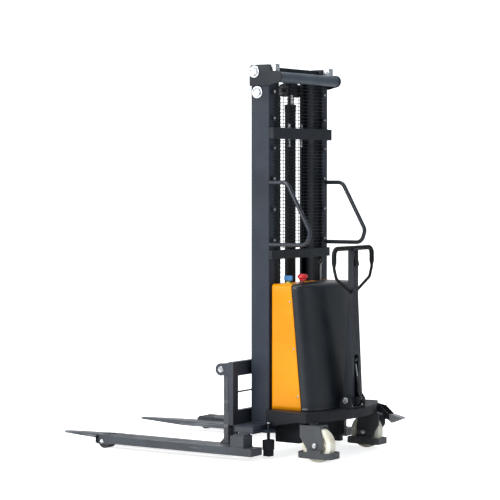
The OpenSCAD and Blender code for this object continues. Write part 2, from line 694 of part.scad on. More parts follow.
// ---- Straddle legs with their load rollers ----
leg_mid_y = leg_span / 2 - leg_w / 2;
leg_back = -45;
load_x = leg_reach - 42;
load_z = load_roller_d / 2;
roller_slot = [leg_reach - 92, leg_reach + 1];
tower_x = [9, 92];
module leg(side) at_mast() mirror([0, side < 0 ? 1 : 0, 0]) {
    difference() {
        union() {
            box([leg_back, leg_reach - 22], [leg_mid_y - leg_w / 2, leg_mid_y + leg_w / 2],
                [leg_low_z, leg_top_z]);
            side_plate(leg_mid_y - leg_w / 2, leg_w)
                polygon([[leg_reach - 130, leg_low_z], [leg_reach - 130, leg_top_z],
                [leg_reach - 118, leg_top_z + 6], [leg_reach - 18, leg_top_z + 6],
                    [leg_reach, leg_top_z - 8], [leg_reach, leg_low_z + 6],
                [leg_reach - 10, leg_low_z - 4], [leg_reach - 96, leg_low_z - 4]]);
        }
        box([roller_slot[0], roller_slot[1]], [leg_mid_y - load_roller_w / 2 - 3,
            leg_mid_y + load_roller_w / 2 + 3], [0, 200]);
        box([leg_back + 8, leg_reach - 140], [leg_mid_y - leg_w / 2 + leg_wall,
            leg_mid_y + leg_w / 2 - leg_wall],
            [leg_low_z - 1, leg_top_z - leg_wall]);
        y_rod(load_x, load_z, load_axle_d, leg_mid_y - leg_w / 2 - 1, leg_mid_y + leg_w / 2 + 1);
    }
    y_rod(load_x, load_z, load_axle_d, leg_mid_y - leg_w / 2, leg_mid_y + leg_w / 2 + 1.5);
    box(tower_x, [leg_mid_y - 44, leg_mid_y + 44], [leg_top_z, beam_low_z - 8]);
    box([tower_x[0] + 6, tower_x[1] - 8], [leg_mid_y - 36, leg_mid_y + 30],
        [beam_low_z - 8, beam_low_z - slip]);
    box([tower_x[0] + 8, tower_x[1] - 10], [beam_end_y - foot_slot + slip, beam_end_y - 2],
        [beam_low_z - slip, bar_z[0]]);
    box(bar_x, [bar_in_y, beam_end_y - 2], bar_z);
}
module leg_left() color("dimgray") leg(1);
module leg_right() color("dimgray") leg(-1);
module load_roller(side) at_mast() translate([load_x, side * leg_mid_y, load_z]) difference() {
    y_rod(0, 0, load_roller_d, -load_roller_w / 2, load_roller_w / 2);
    y_rod(0, 0, load_axle_d + 2 * fit, -load_roller_w, load_roller_w);
}
module load_roller_left() color("gray") load_roller(1);
module load_roller_right() color("gray") load_roller(-1);

// ---- Casters: the left one trails to the rear, the right one is turned to the front ----
fork_gap = caster_w / 2 + 4;
cheek_caster_t = 7;
caster_r = caster_d / 2;
crown_z = caster_d + 4;
crown_t = 9;
guard_low_z = 22;
guard_h = 34;
guard_t = 8;
module guard_ring(inset) polygon([[-100 + inset, -44 + inset / 2], [-74, -58 + inset],
    [74, -58 + inset], [100 - inset, -44 + inset / 2],
    [100 - inset, 44 - inset / 2], [74, 58 - inset], [-74, 58 - inset], [-100 + inset, 44 - inset / 2]]);
module caster_fork() {
    box([-66, 58], [-fork_gap - cheek_caster_t, fork_gap + cheek_caster_t], [crown_z, crown_z + crown_t]);
    translate([0, 0, crown_z + crown_t]) cylinder(d = boss_d - 8,
        h = caster_top_z - slip - crown_z - crown_t);
    translate([0, 0, caster_top_z - 2]) cylinder(d = pin_d, h = deck_z - caster_top_z - 8);
    for (s = [-1, 1]) difference() {
        side_plate(s > 0 ? fork_gap : -fork_gap - cheek_caster_t, cheek_caster_t)
            polygon([[-66, crown_z + crown_t], [58, crown_z + crown_t], [58, 130], [10, 62],
                [-caster_trail - 44, 62], [-caster_trail - 44, 118]]);
        y_rod(-caster_trail, caster_r, caster_axle_d, -100, 100);
    }
    translate([-caster_trail, 0, guard_low_z]) difference() {
        linear_extrude(guard_h) guard_ring(0);
        translate([0, 0, -1]) linear_extrude(guard_h + 2) guard_ring(guard_t);
    }
    for (s = [-1, 1]) box([-caster_trail - 40, -caster_trail + 40],
        [s > 0 ? fork_gap : -58 + 2, s > 0 ? 58 - 2 : -fork_gap],
        [guard_low_z + guard_h - 8, 66]);
    y_rod(-caster_trail, caster_r, caster_axle_d, -fork_gap - cheek_caster_t, fork_gap + cheek_caster_t);
    for (s = [-1, 1]) y_rod(-caster_trail, caster_r, 28,
        s > 0 ? fork_gap + cheek_caster_t : -fork_gap - cheek_caster_t - 7,
        s > 0 ? fork_gap + cheek_caster_t + 7 : -fork_gap - cheek_caster_t);
}
module caster_wheel() difference() {
    union() {
        rotate([-90, 0, 0]) rotate_extrude() polygon([[0, -caster_w / 2],
            [caster_r - 8, -caster_w / 2], [caster_r, -caster_w / 2 + 10],
            [caster_r, caster_w / 2 - 10], [caster_r - 8, caster_w / 2], [0, caster_w / 2]]);
        y_rod(0, 0, 50, -fork_gap + 1, fork_gap - 1);
    }
    y_rod(0, 0, caster_axle_d + 2 * fit, -100, 100);
    for (s = [-1, 1]) translate([0, s * caster_w / 2, 0]) rotate([90, 0, 0]) difference() {
        cylinder(d = 120, h = 16, center = true);
        cylinder(d = 58, h = 18, center = true);
    }
}
module caster_fork_left() color("gray") at_mast() translate([-caster_back, caster_y, 0]) caster_fork();
module caster_fork_right() color("gray") at_mast() translate([-caster_back, -caster_y, 0])
    rotate([0, 0, 180]) caster_fork();
module caster_wheel_left() color("ivory") at_mast()
    translate([-caster_back - caster_trail, caster_y, caster_r]) caster_wheel();
module caster_wheel_right() color("ivory") at_mast()
    translate([-caster_back + caster_trail, -caster_y, caster_r]) caster_wheel();

// ---- Foot brake behind the right caster ----
pedal_pin = -100;
pedal_z = 178;
pedal_pin_d = 12;
module brake_pedal() color("silver") at_mast() translate([-caster_back, -caster_y, 0]) difference() {
    union() {
        y_rod(pedal_pin, pedal_z, 23, -23, 23);
        side_plate(-23, 46) polygon([[pedal_pin, pedal_z - 11], [pedal_pin, pedal_z + 11],
            [-128, pedal_z + 15],
            [caster_back - pedal_reach, pedal_z], [caster_back - pedal_reach, pedal_z - 7],
                [-130, pedal_z - 32]]);
    }
    y_rod(pedal_pin, pedal_z, pedal_pin_d + 2 * fit, -60, 60);
}

// ---- Tiller ----
pivot_x = -tiller_back;
base_half_w = arm_foot_w / 2 + 16;
ear_t = 12;
pivot_d = 24;
channel_half_w = 22;
arm_front = pivot_x + arm_d / 2;
arm_rear = pivot_x - arm_d / 2;
arm_top_rear = pivot_x - arm_top_d / 2;
anchor_low = [pivot_x - 45, tiller_pivot_z + 10];
anchor_top = [pivot_x - 13, tiller_pivot_z + 215];
module tiller_base() color("darkslategray") at_mast() {
    box([pivot_x - 34, pivot_x + 38], [-base_half_w, base_half_w], [deck_z, deck_z + 12]);
    for (s = [-1, 1]) difference() {
        side_plate(s > 0 ? base_half_w - ear_t : -base_half_w, ear_t)
            polygon([[pivot_x - 34, deck_z + 12], [pivot_x + 38, deck_z + 12],
                [pivot_x + 38, tiller_pivot_z - 4], [pivot_x + 18, tiller_pivot_z + 26],
                [pivot_x - 18, tiller_pivot_z + 26], [pivot_x - 34, tiller_pivot_z + 4]]);
        y_rod(pivot_x, tiller_pivot_z, pivot_d, -100, 100);
    }
    y_rod(pivot_x, tiller_pivot_z, pivot_d, -base_half_w, base_half_w);
    for (s = [-1, 1]) side_plate(s > 0 ? 14 : -20, 6)
        polygon([[pivot_x - 34, deck_z + 12], [pivot_x - 14, deck_z + 12],
            [anchor_low[0] + 9, anchor_low[1] + 9], [anchor_low[0] - 9, anchor_low[1] + 9],
            [anchor_low[0] - 9, anchor_low[1] - 16]]);
    y_rod(anchor_low[0], anchor_low[1], 10, -20, 20);
}
module base_bolts() color("silver") at_mast() {
    for (x = [pivot_x - 24, pivot_x + 28], s = [-1, 1])
        translate([x, s * (base_half_w - ear_t - 10), deck_z + 12])
        cylinder(d = 14, h = 7, $fn = 6);
    both_sides() y_rod(pivot_x, tiller_pivot_z, 32, base_half_w, base_half_w + 6);
}
arm_top_z = handle_top_z - 14;
grip_z = handle_top_z - grip_d / 2;
loop_low_z = handle_top_z - handle_h;
loop_mid_z = handle_top_z - 130;
arm_foot_z = tiller_pivot_z + 40;
arm_neck_z = loop_low_z - 40;

// One face of the arm: parallel at its foot, drawn in to the neck, parallel up to the handle.
module arm_face(foot, top) polygon([[-foot / 2, tiller_pivot_z - 22], [foot / 2, tiller_pivot_z - 22],
    [foot / 2, arm_foot_z], [top / 2, arm_neck_z], [top / 2, arm_top_z], [-top / 2, arm_top_z],
    [-top / 2, arm_neck_z], [-foot / 2, arm_foot_z]]);
trigger_z = [handle_top_z - 112, handle_top_z - 42];
trigger_half_w = 16;
trigger_x = arm_top_rear + 9;
trigger_pin_d = 6;
trigger_slot = 20;
module trigger_pin(gap, half) y_rod(trigger_x, trigger_z[1], trigger_pin_d + gap, -half, half);
module tiller_arm() color("dimgray") at_mast() {
    arm_body();
    y_rod(anchor_top[0], anchor_top[1], 10, -channel_half_w - 8, channel_half_w + 8);
    trigger_pin(0, trigger_half_w + 5);
}
module arm_body() difference() {
    union() {
        intersection() {
            translate([arm_rear, 0, 0]) rotate([90, 0, 90]) linear_extrude(arm_d)
                arm_face(arm_foot_w, arm_top_w);
            side_plate(-arm_foot_w / 2, arm_foot_w) translate([pivot_x, 0]) arm_face(arm_d, arm_top_d);
        }
        y_rod(pivot_x, tiller_pivot_z, arm_d, -arm_foot_w / 2, arm_foot_w / 2);
    }
    y_rod(pivot_x, tiller_pivot_z, pivot_d + 2 * fit, -100, 100);
    box([arm_rear - 30, arm_front - 8], [-channel_half_w, channel_half_w],
        [tiller_pivot_z - 60, anchor_top[1] + 26]);
    box([arm_front - 9, arm_front + 30], [-channel_half_w, channel_half_w],
        [tiller_pivot_z - 60, tiller_pivot_z + 20]);
    box([arm_top_rear - 1, arm_top_rear + trigger_slot], [-trigger_half_w - 1, trigger_half_w + 1],
        [trigger_z[0], trigger_z[1] + 12]);
    difference() {
        box([arm_rear - 1, arm_front + 1], [-arm_foot_w, arm_foot_w],
            [tiller_pivot_z - 60, tiller_pivot_z]);
        y_rod(pivot_x, tiller_pivot_z, arm_d, -arm_foot_w, arm_foot_w);
    }
    y_rod(pivot_x, grip_z, grip_d, -100, 100);
    y_rod(anchor_top[0], anchor_top[1], 10, -channel_half_w - 8, channel_half_w + 8);
    trigger_pin(0, trigger_half_w + 5);
}

// The handle loop: a thick grip bar across the top and thinner rods that end on the arm's sides.
module along_yz(a, b) {
    v = b - a;
    translate([pivot_x, a[0], a[1]]) rotate([-atan2(v[0], v[1]), 0, 0]) children();
}
module yz_rod(a, b, d) along_yz(a, b) cylinder(d = d, h = norm(b - a));
module tiller_handle() color("black") at_mast() {
    corner = 38;
    knee = [handle_half_w - 34, loop_low_z + 62];
    rod_end = [arm_top_w / 2 - 9, loop_low_z - 16];
    y_rod(pivot_x, grip_z, grip_d, corner - handle_half_w, handle_half_w - corner);
    both_sides() {
        translate([pivot_x, handle_half_w - corner, grip_z - (corner - grip_d / 2)]) rotate([90, 0, 90])
            rotate_extrude(angle = 90) translate([corner - grip_d / 2, 0]) circle(d = grip_d);
        yz_rod([handle_half_w - grip_d / 2, grip_z - (corner - grip_d / 2)],
            [handle_half_w - grip_d / 2, loop_mid_z], grip_d);
        translate([pivot_x, handle_half_w - grip_d / 2, loop_mid_z]) sphere(d = grip_d + 2);
        yz_rod([handle_half_w - grip_d / 2, loop_mid_z], knee, handle_rod_d);
        along_yz(knee, rod_end) sphere(d = handle_rod_d + 2);
        difference() {
            yz_rod(knee, rod_end, handle_rod_d);
            box([arm_rear, arm_front], [-arm_top_w / 2, arm_top_w / 2],
                [arm_neck_z, loop_low_z + 30]);
        }
    }
}
module tiller_trigger() color("gray") at_mast() difference() {
    union() {
        y_rod(trigger_x, trigger_z[1], 15, -trigger_half_w, trigger_half_w);
        side_plate(-trigger_half_w, 2 * trigger_half_w)
            polygon([[trigger_x - 7, trigger_z[1]], [trigger_x + 6, trigger_z[1]],
            [trigger_x - 1, trigger_z[0] + 6], [trigger_x - 16, trigger_z[0] + 2],
                [trigger_x - 20, trigger_z[0] + 10]]);
    }
    trigger_pin(2 * fit, trigger_half_w + 5);
}

// ---- Gas spring behind the tiller arm, open at its upper pin ----
spring_v = unit(anchor_top - anchor_low);
spring_len = norm(anchor_top - anchor_low);
spring_tube_d = 20;
spring_rod_d = 8;
tube_len = 118;
module along_spring(from, to, d) xz_rod(anchor_low + spring_v * from, anchor_low + spring_v * to, 0, d);
module gas_spring_tube() color("black") at_mast() difference() {
    union() {
        along_spring(16, tube_len, spring_tube_d);
        y_rod(anchor_low[0], anchor_low[1], 22, -8, 8);
        along_spring(0, 17, 14);
    }
    y_rod(anchor_low[0], anchor_low[1], 10 + 2 * fit, -20, 20);
    along_spring(50, tube_len + 1, spring_rod_d + 2 * fit);
}
module gas_spring_rod() color("silver") at_mast() along_spring(92, spring_len - 24, spring_rod_d);

// ---- Controls on the covers ----
module panel_fittings() color("gold") at_mast() {
    translate([estop_x, estop_y, cover_top_z]) difference() {
        cylinder(d = 36, h = 9);
        translate([0, 0, -1]) cylinder(d = 12 + 2 * fit, h = 12);
    }
    translate([key_x, key_y, cover_top_z]) difference() {
        union() {
            box([-30, 30], [-24, 24], [0, 3]);
            translate([0, 0, 3]) cylinder(d = 24, h = 7);
        }
        translate([0, 0, -1]) cylinder(d = 10 + 2 * fit, h = 12);
    }
    translate([lever_x, lever_y, cover_top_z]) difference() {
        box([-32, 32], [-16, 16], [0, 4]);
        box([-lever_slot[0] / 2, lever_slot[0] / 2], [-lever_slot[1] / 2, lever_slot[1] / 2], [-1, 5]);
    }
    for (s = [-1, 1]) translate([lever_x, lever_y, 0])
        box([-16, 16], [s > 0 ? 7.5 : -12, s > 0 ? 12 : -7.5],
            [lever_pivot_z - 12, cover_top_z - cover_wall]);
    y_rod(lever_x, lever_pivot_z, 8, lever_y - 12, lever_y + 12);
}
lever_pivot_z = cover_top_z - 34;
lever_knob_z = cover_top_z + 108;
module estop_button() color("red") at_mast() translate([estop_x, estop_y, cover_top_z]) {
    translate([0, 0, -14]) cylinder(d = 12, h = 40);
    rotate_extrude() polygon([[0, 18], [18, 18], [25, 26], [28, 38], [26, 47], [16, 53], [0, 55]]);
}
module switch_key() color("blue") at_mast() translate([key_x, key_y, cover_top_z]) {
    translate([0, 0, -8]) cylinder(d = 10, h = 24);
    box([-25, 25], [-4.5, 4.5], [16, 42]);
}
module lift_lever() color("gray") at_mast() difference() {
    union() {
        translate([lever_x, lever_y, lever_pivot_z]) cylinder(d = 9, h = lever_knob_z - lever_pivot_z);
        translate([lever_x, lever_y, lever_knob_z]) sphere(d = 28);
        y_rod(lever_x, lever_pivot_z, 18, lever_y - 7, lever_y + 7);
    }
    y_rod(lever_x, lever_pivot_z, 8 + 2 * fit, lever_y - 20, lever_y + 20);
}

chassis_frame();
cross_beam();
mast_upright_left();
mast_upright_right();
head_plates();
head_tube();
mast_crossbars();
mast_caps();
mesh_guard();
guard_clips();
grab_bar_left();
grab_bar_right();
front_cover();
rear_cover();
cover_screws();
battery();
oil_tank();
pump_motor();
charger();
cylinder_tube();
chain_anchors();
panel_fittings();
tiller_base();
base_bolts();
estop_button();
switch_key();
lift_lever();
tiller_arm();
tiller_handle();
tiller_trigger();
gas_spring_tube();
gas_spring_rod();
jack_screw_left();
jack_screw_right();
inner_rails();
inner_crossbars();
lift_rod();
crosshead();
chain_wheels();
mast_rollers_low();
mast_rollers_high();
chain_rear();
chain_front();
carriage_frame();
fork_shaft();
carriage_rollers_low();
carriage_rollers_high();
fork_left();
fork_right();
leg_left();
leg_right();
load_roller_left();
load_roller_right();
caster_fork_left();
caster_fork_right();
caster_wheel_left();
caster_wheel_right();
brake_pedal();
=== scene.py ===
"""A walkie stacker with a two-stage mast, straddle legs, a tiller and covered power pack."""
import json
from math import cos, pi, radians, sin, tan

import bmesh
import bpy
import numpy as np
from mathutils import Matrix, Vector

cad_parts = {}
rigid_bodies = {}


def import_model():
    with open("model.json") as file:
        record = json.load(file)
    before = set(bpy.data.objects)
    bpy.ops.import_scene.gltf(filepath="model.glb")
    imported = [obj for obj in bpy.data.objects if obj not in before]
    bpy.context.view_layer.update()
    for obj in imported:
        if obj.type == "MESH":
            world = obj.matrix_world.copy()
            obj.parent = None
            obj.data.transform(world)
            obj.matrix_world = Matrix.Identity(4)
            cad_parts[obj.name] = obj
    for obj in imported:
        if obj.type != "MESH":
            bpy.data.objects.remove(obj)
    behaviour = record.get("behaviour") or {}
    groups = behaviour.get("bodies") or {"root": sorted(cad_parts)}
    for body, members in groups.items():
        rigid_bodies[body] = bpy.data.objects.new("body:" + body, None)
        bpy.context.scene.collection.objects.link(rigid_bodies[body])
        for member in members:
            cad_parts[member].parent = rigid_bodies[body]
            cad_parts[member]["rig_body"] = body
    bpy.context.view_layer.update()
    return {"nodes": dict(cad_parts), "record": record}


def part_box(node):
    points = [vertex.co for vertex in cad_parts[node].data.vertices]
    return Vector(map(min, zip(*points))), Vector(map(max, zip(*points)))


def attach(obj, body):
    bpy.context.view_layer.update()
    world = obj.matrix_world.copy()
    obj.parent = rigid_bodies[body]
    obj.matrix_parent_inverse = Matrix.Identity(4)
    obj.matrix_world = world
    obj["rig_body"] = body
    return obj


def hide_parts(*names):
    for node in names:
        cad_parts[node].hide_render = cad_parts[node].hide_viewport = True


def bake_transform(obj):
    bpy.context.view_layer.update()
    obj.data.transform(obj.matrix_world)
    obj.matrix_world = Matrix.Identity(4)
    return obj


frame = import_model()

# ---- Camera, floor and light ----
# A pale studio: one sweep of floor that glows for the camera alone, under four large soft lights.
TRUCK_SHIFT = -0.4275
FLOOR_TURN, FLOOR_GLOW = 56.7, 0.75


def in_frame(x, y, z):
    """A point measured from the rear face of the mast, moved to the frame's origin."""
    return Vector((x + TRUCK_SHIFT, y, z))


def camera_at(place, turn, dip, lens):
    """A camera at a place: it looks turn degrees clockwise from +X, seen from above, and dips by dip
    degrees below level."""
    a, e = radians(turn), radians(dip)
    ahead = Vector((cos(a) * cos(e), -sin(a) * cos(e), -sin(e)))
    right = Vector((-sin(a), -cos(a), 0))
    up = right.cross(ahead)
    data = bpy.data.cameras.new("camera")
    data.lens, data.sensor_width = lens, 36
    data.clip_end = 60
    camera = bpy.data.objects.new("camera", data)
    bpy.context.collection.objects.link(camera)
    camera.matrix_world = Matrix((
        (right.x, up.x, -ahead.x, place[0]), (right.y, up.y, -ahead.y, place[1]),
        (right.z, up.z, -ahead.z, place[2]), (0, 0, 0, 1)))
    bpy.context.scene.camera = camera


camera_at((-5.8685, 8.7657, 1.4803), 56.6992, 2.1516, 136.67)


def several(name, grids, closed=True):
    """One object from several grids of points [row, column, xyz], with one quad between each four
    neighbours. A closed grid's last column joins its first."""
    points, faces, start = [], [], 0
    for grid in grids:
        rows, cols = grid.shape[:2]
        i, j = np.arange(rows - 1)[:, None], np.arange(cols if closed else cols - 1)[None, :]
        k = (j + 1) % cols
        quads = np.stack([i * cols + j, (i + 1) * cols + j, (i + 1) * cols + k, i * cols + k], -1)
        points.append(grid.reshape(-1, 3))
        faces.append(quads.reshape(-1, 4) + start)
        start += rows * cols
    return solid(name, np.concatenate(points), np.concatenate(faces))


def solid(name, points, faces):
    """An object from an array of points and an array of faces, merged, smooth, and sharp past 35 degrees."""
    mesh = bpy.data.meshes.new(name)
    mesh.from_pydata(np.asarray(points, float).tolist(), [], np.asarray(faces).tolist())
    tidy = bmesh.new()
    tidy.from_mesh(mesh)
    bmesh.ops.remove_doubles(tidy, verts=tidy.verts, dist=2e-6)
    bmesh.ops.dissolve_degenerate(tidy, edges=tidy.edges, dist=1e-6)
    bmesh.ops.recalc_face_normals(tidy, faces=tidy.faces)
    tidy.to_mesh(mesh)
    tidy.free()
    mesh.shade_smooth()
    mesh.set_sharp_from_angle(angle=radians(35))
    obj = bpy.data.objects.new(name, mesh)
    bpy.context.collection.objects.link(obj)
    return obj


def sweep_of_floor(width, depth, bend):
    """A floor that rises behind the truck: level, then a quarter round of this bend, then upright."""
    run = np.linspace(-depth, depth, 12)
    arc = np.linspace(0, pi / 2, 16)
    out = np.concatenate([run, depth + bend * np.sin(arc), [depth + bend] * 2])
    up = np.concatenate([run * 0, bend * (1 - np.cos(arc)), [bend + 6, bend + 12]])
    side = np.linspace(-width, width, 3)
    turn = radians(FLOOR_TURN)
    ahead, right = (cos(turn), -sin(turn)), (-sin(turn), -cos(turn))
    x = out[:, None] * ahead[0] + side * right[0]
    y = out[:, None] * ahead[1] + side * right[1]
    return several("floor", [np.stack([x, y, up[:, None] + side * 0 - 0.0005], -1)], closed=False)


def finish_of(name, colour, rough, metal=0.0, **sockets):
    """A new material with one Principled surface, whose even values are set on its own sockets."""
    material = bpy.data.materials.new(name)
    material.use_nodes = True
    shader = material.node_tree.nodes["Principled BSDF"]
    shader.inputs["Base Color"].default_value = (*colour, 1)
    shader.inputs["Roughness"].default_value = rough
    shader.inputs["Metallic"].default_value = metal
    for socket, value in sockets.items():
        shader.inputs[socket.replace("_", " ")].default_value = value
    return material


floor = sweep_of_floor(14, 7, 2.5)
backdrop = finish_of("studio floor", (0.93, 0.93, 0.93), 0.7, Emission_Color=(1, 1, 1, 1))
ray, glow = (backdrop.node_tree.nodes.new("ShaderNode" + kind) for kind in ("LightPath", "Math"))
glow.operation, glow.inputs[1].default_value = "MULTIPLY", FLOOR_GLOW
backdrop.node_tree.links.new(ray.outputs["Is Camera Ray"], glow.inputs[0])
backdrop.node_tree.links.new(glow.outputs[0],
                             backdrop.node_tree.nodes["Principled BSDF"].inputs["Emission Strength"])
floor.data.materials.append(backdrop)


def soft_light(name, place, aim, size, power):
    """A square soft light at a place, turned to face a point."""
    data = bpy.data.lights.new(name, "AREA")
    data.shape, data.size, data.energy = "SQUARE", size, power
    lamp = bpy.data.objects.new(name, data)
    bpy.context.collection.objects.link(lamp)
    lamp.location = place
    lamp.rotation_euler = (Vector(aim) - Vector(place)).to_track_quat("-Z", "Y").to_euler()


soft_light("key", (0.9, 7.4, 4.6), (0, 0, 1), 4.0, 360)
soft_light("side", (-6.5, -1.0, 3.2), (0, 0, 1), 3.5, 30)
soft_light("front", (4.6, 7.6, 2.4), (0, 0, 0.8), 3.5, 130)
soft_light("top", (0.5, 0.5, 7.0), (0, 0, 0), 5.0, 320)
sky = bpy.data.worlds.new("studio")
sky.use_nodes = True
sky.node_tree.nodes["Background"].inputs["Color"].default_value = (0.86, 0.94, 1, 1)
sky.node_tree.nodes["Background"].inputs["Strength"].default_value = 0.38
bpy.context.scene.world = sky

# ---- Cross beam and chassis deck ----
# Both are welded from folded plate and powder coated. The beam carries the mast and takes the leg
# bars in its open ends, and the deck's skirt curves round the casters.
slot_of = {part["node"]: part["material_slot"] for part in frame["record"]["subparts"]}
bpy.context.scene.view_settings.view_transform = "Standard"


def noise(material, scale, detail=2.0, stretch=(1, 1, 1)):
    """Noise over the piece's own coordinates: features a metre, thinned along each axis by stretch."""
    tree = material.node_tree
    place, turn = tree.nodes.new("ShaderNodeTexCoord"), tree.nodes.new("ShaderNodeMapping")
    turn.inputs["Scale"].default_value = stretch
    spots = tree.nodes.new("ShaderNodeTexNoise")
    spots.inputs["Scale"].default_value = scale
    spots.inputs["Detail"].default_value = detail
    tree.links.new(place.outputs["Object"], turn.inputs["Vector"])
    tree.links.new(turn.outputs["Vector"], spots.inputs["Vector"])
    return spots.outputs["Fac"]


def tint(material, factor, low, high, span=(0.35, 0.65)):
    """Colours the surface from low to high while the factor climbs through the span."""
    ramp = material.node_tree.nodes.new("ShaderNodeValToRGB")
    for stop, at, colour in zip(ramp.color_ramp.elements, span, (low, high)):
        stop.position, stop.color = at, (*colour, 1)
    shader = material.node_tree.nodes["Principled BSDF"]
    material.node_tree.links.new(factor, ramp.inputs["Fac"])
    material.node_tree.links.new(ramp.outputs["Color"], shader.inputs["Base Color"])


def vary(material, socket, factor, low, high):
    """Drives one socket of the shader from low to high as the factor goes from a third to two thirds."""
    span = material.node_tree.nodes.new("ShaderNodeMapRange")
    for name, value in (("From Min", 0.33), ("From Max", 0.67), ("To Min", low), ("To Max", high)):
        span.inputs[name].default_value = value
    material.node_tree.links.new(factor, span.inputs["Value"])
    shader = material.node_tree.nodes["Principled BSDF"]
    material.node_tree.links.new(span.outputs["Result"], shader.inputs[socket])


def relief(material, factor, depth, strength=0.5):
    """Raises the surface by depth metres where the factor is high, on top of any relief it has."""
    tree = material.node_tree
    bump, shader = tree.nodes.new("ShaderNodeBump"), tree.nodes["Principled BSDF"]
    bump.inputs["Strength"].default_value, bump.inputs["Distance"].default_value = strength, depth
    tree.links.new(factor, bump.inputs["Height"])
    if shader.inputs["Normal"].is_linked:
        tree.links.new(shader.inputs["Normal"].links[0].from_socket, bump.inputs["Normal"])
    tree.links.new(bump.outputs["Normal"], shader.inputs["Normal"])


def powder_coat(name, colour, rough=0.42, peel=0.00025, shine=0.5):
    """Stoved powder paint: a faint orange peel, a slow drift of shade, and duller patches from dust."""
    paint = finish_of(name, colour, rough, Specular_IOR_Level=shine)
    shade = np.array(colour)
    tint(paint, noise(paint, 5, 6), tuple(shade * 0.84), tuple(np.minimum(shade * 1.18, 1)))
    vary(paint, "Roughness", noise(paint, 11, 8), rough - 0.07, rough + 0.1)
    relief(paint, noise(paint, 420, 2), peel)
    return paint


def eased(node, radius, material, segments=2, keep=None, other=None):
    """The node's own shape, merged, with every sharp arris rounded to this radius in metres.
    Faces whose centre keep turns down are left out, and other = (material, test) is a second finish
    for the faces whose centre passes its test."""
    source = frame["nodes"][node]
    mesh = source.data.copy()
    mesh.materials.clear()
    mesh.materials.append(material)
    if "custom_normal" in mesh.attributes:
        mesh.attributes.remove(mesh.attributes["custom_normal"])
    tidy = bmesh.new()
    tidy.from_mesh(mesh)
    bmesh.ops.remove_doubles(tidy, verts=tidy.verts, dist=1e-6)
    bmesh.ops.dissolve_limit(tidy, angle_limit=radians(0.4), verts=tidy.verts, edges=tidy.edges)
    if keep:
        unwanted = [face for face in tidy.faces if not keep(face.calc_center_median())]
        bmesh.ops.delete(tidy, geom=unwanted, context="FACES")
    if other:
        mesh.materials.append(other[0])
        for face in tidy.faces:
            face.material_index = int(other[1](face.calc_center_median()))
    tidy.to_mesh(mesh)
    tidy.free()
    mesh.shade_smooth()
    piece = bpy.data.objects.new(node + "_eased", mesh)
    bpy.context.collection.objects.link(piece)
    ease = piece.modifiers.new("ease", "BEVEL")
    ease.width, ease.segments, ease.limit_method = radius, segments, "ANGLE"
    ease.angle_limit, ease.harden_normals = radians(35), True
    return placed(piece, source["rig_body"], slot_of[node], node)


def placed(piece, body, slot, *nodes):
    """Hands a finished piece over: it rides the body, and the nodes it stands for are hidden. slot is not
    used.
    """
    if nodes:
        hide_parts(*nodes)
    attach(piece, body)
    return piece


def made(name, grids, material, body, node=None, slot=None):
    """A piece built from grids of points, in one material, that rides a body. It stands for a node,
    which is then hidden, or it stands for none; slot is passed on but not used."""
    piece = several(name, grids)
    piece.data.materials.append(material)
    return placed(piece, body, slot or slot_of[node], *([node] if node else []))


deck_paint = powder_coat("deck powder coat", (0.011, 0.013, 0.017), 0.52, shine=0.25)
mast_paint = powder_coat("mast powder coat", (0.022, 0.029, 0.044), 0.44, shine=0.3)
eased("chassis_frame", 0.0015, deck_paint)
eased("cross_beam", 0.002, mast_paint)


def axes(axis):
    """Three unit vectors as arrays: one along the axis and two across it."""
    along = Vector(axis).normalized()
    side = along.orthogonal().normalized()
    return np.array(along), np.array(side), np.array(along.cross(side))


def weld_beads(name, seams, body, material, slot):
    """Fillet welds as one piece: a round bead along each seam, its radius rippled once every 5 mm."""
    strips = []
    for start, end, radius in seams:
        start, end = Vector(start), Vector(end)
        steps = max(int((end - start).length / 0.0025), 4)
        t = np.linspace(0, 1, steps)[:, None]
        ripple = radius * (1 + 0.14 * np.cos(t * steps * pi)) * np.sqrt(np.sin(pi * t) ** 0.12)
        ripple[[0, -1]] = 0
        _, side, up = axes(end - start)
        turn = np.linspace(0, 2 * pi, 9)[None, :-1]
        ring = np.cos(turn)[..., None] * side + np.sin(turn)[..., None] * up
        strips.append(np.array(start) + t[..., None] * np.array(end - start) + ripple[..., None] * ring)
    return made(name, strips, material, body, slot=slot)


beam_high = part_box("cross_beam")[1]
mast_low, mast_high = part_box("mast_upright_left")
weld_beads("mast_foot_welds", [
    ((x, side * y, beam_high.z), (x2, side * y2, beam_high.z), 0.004)
    for side in (-1, 1)
    for x, y, x2, y2 in ((mast_low.x, mast_low.y, mast_low.x, mast_high.y),
                         (mast_low.x, mast_high.y, mast_high.x, mast_high.y),
                         (mast_high.x, mast_high.y, mast_high.x, mast_low.y))],
    "truck", mast_paint, "mast_paint")

# ---- Outer mast: uprights, head, crossbars ----
# Two rolled channels with plates, a round tube and flat bars welded across them at the head and
# at two thirds of the height. Zinc caps cover the fixing holes in the sides.
for node in ("mast_upright_left", "mast_upright_right"):
    eased(node, 0.0025, mast_paint, 3)
# The head plates and crossbars, and the guard clips with them, take a darker copy of the mast paint: painted
# shade.
shaded_head_paint = powder_coat("head shade paint", (0.007, 0.011, 0.017), 0.42, shine=0.35)
eased("head_plates", 0.002, shaded_head_paint, 3)
eased("mast_crossbars", 0.002, shaded_head_paint)


def turned(centre, axis, profile, sides=48):
    """A turned shape: a profile of (radius, distance along the axis) carried round the axis."""
    along, side, up = axes(axis)
    profile = np.asarray(profile, float)
    turn = np.linspace(0, 2 * pi, sides, endpoint=False)
    ring = np.cos(turn)[:, None] * side + np.sin(turn)[:, None] * up
    return np.array(centre) + profile[:, 1, None, None] * along + profile[:, 0, None, None] * ring[None]


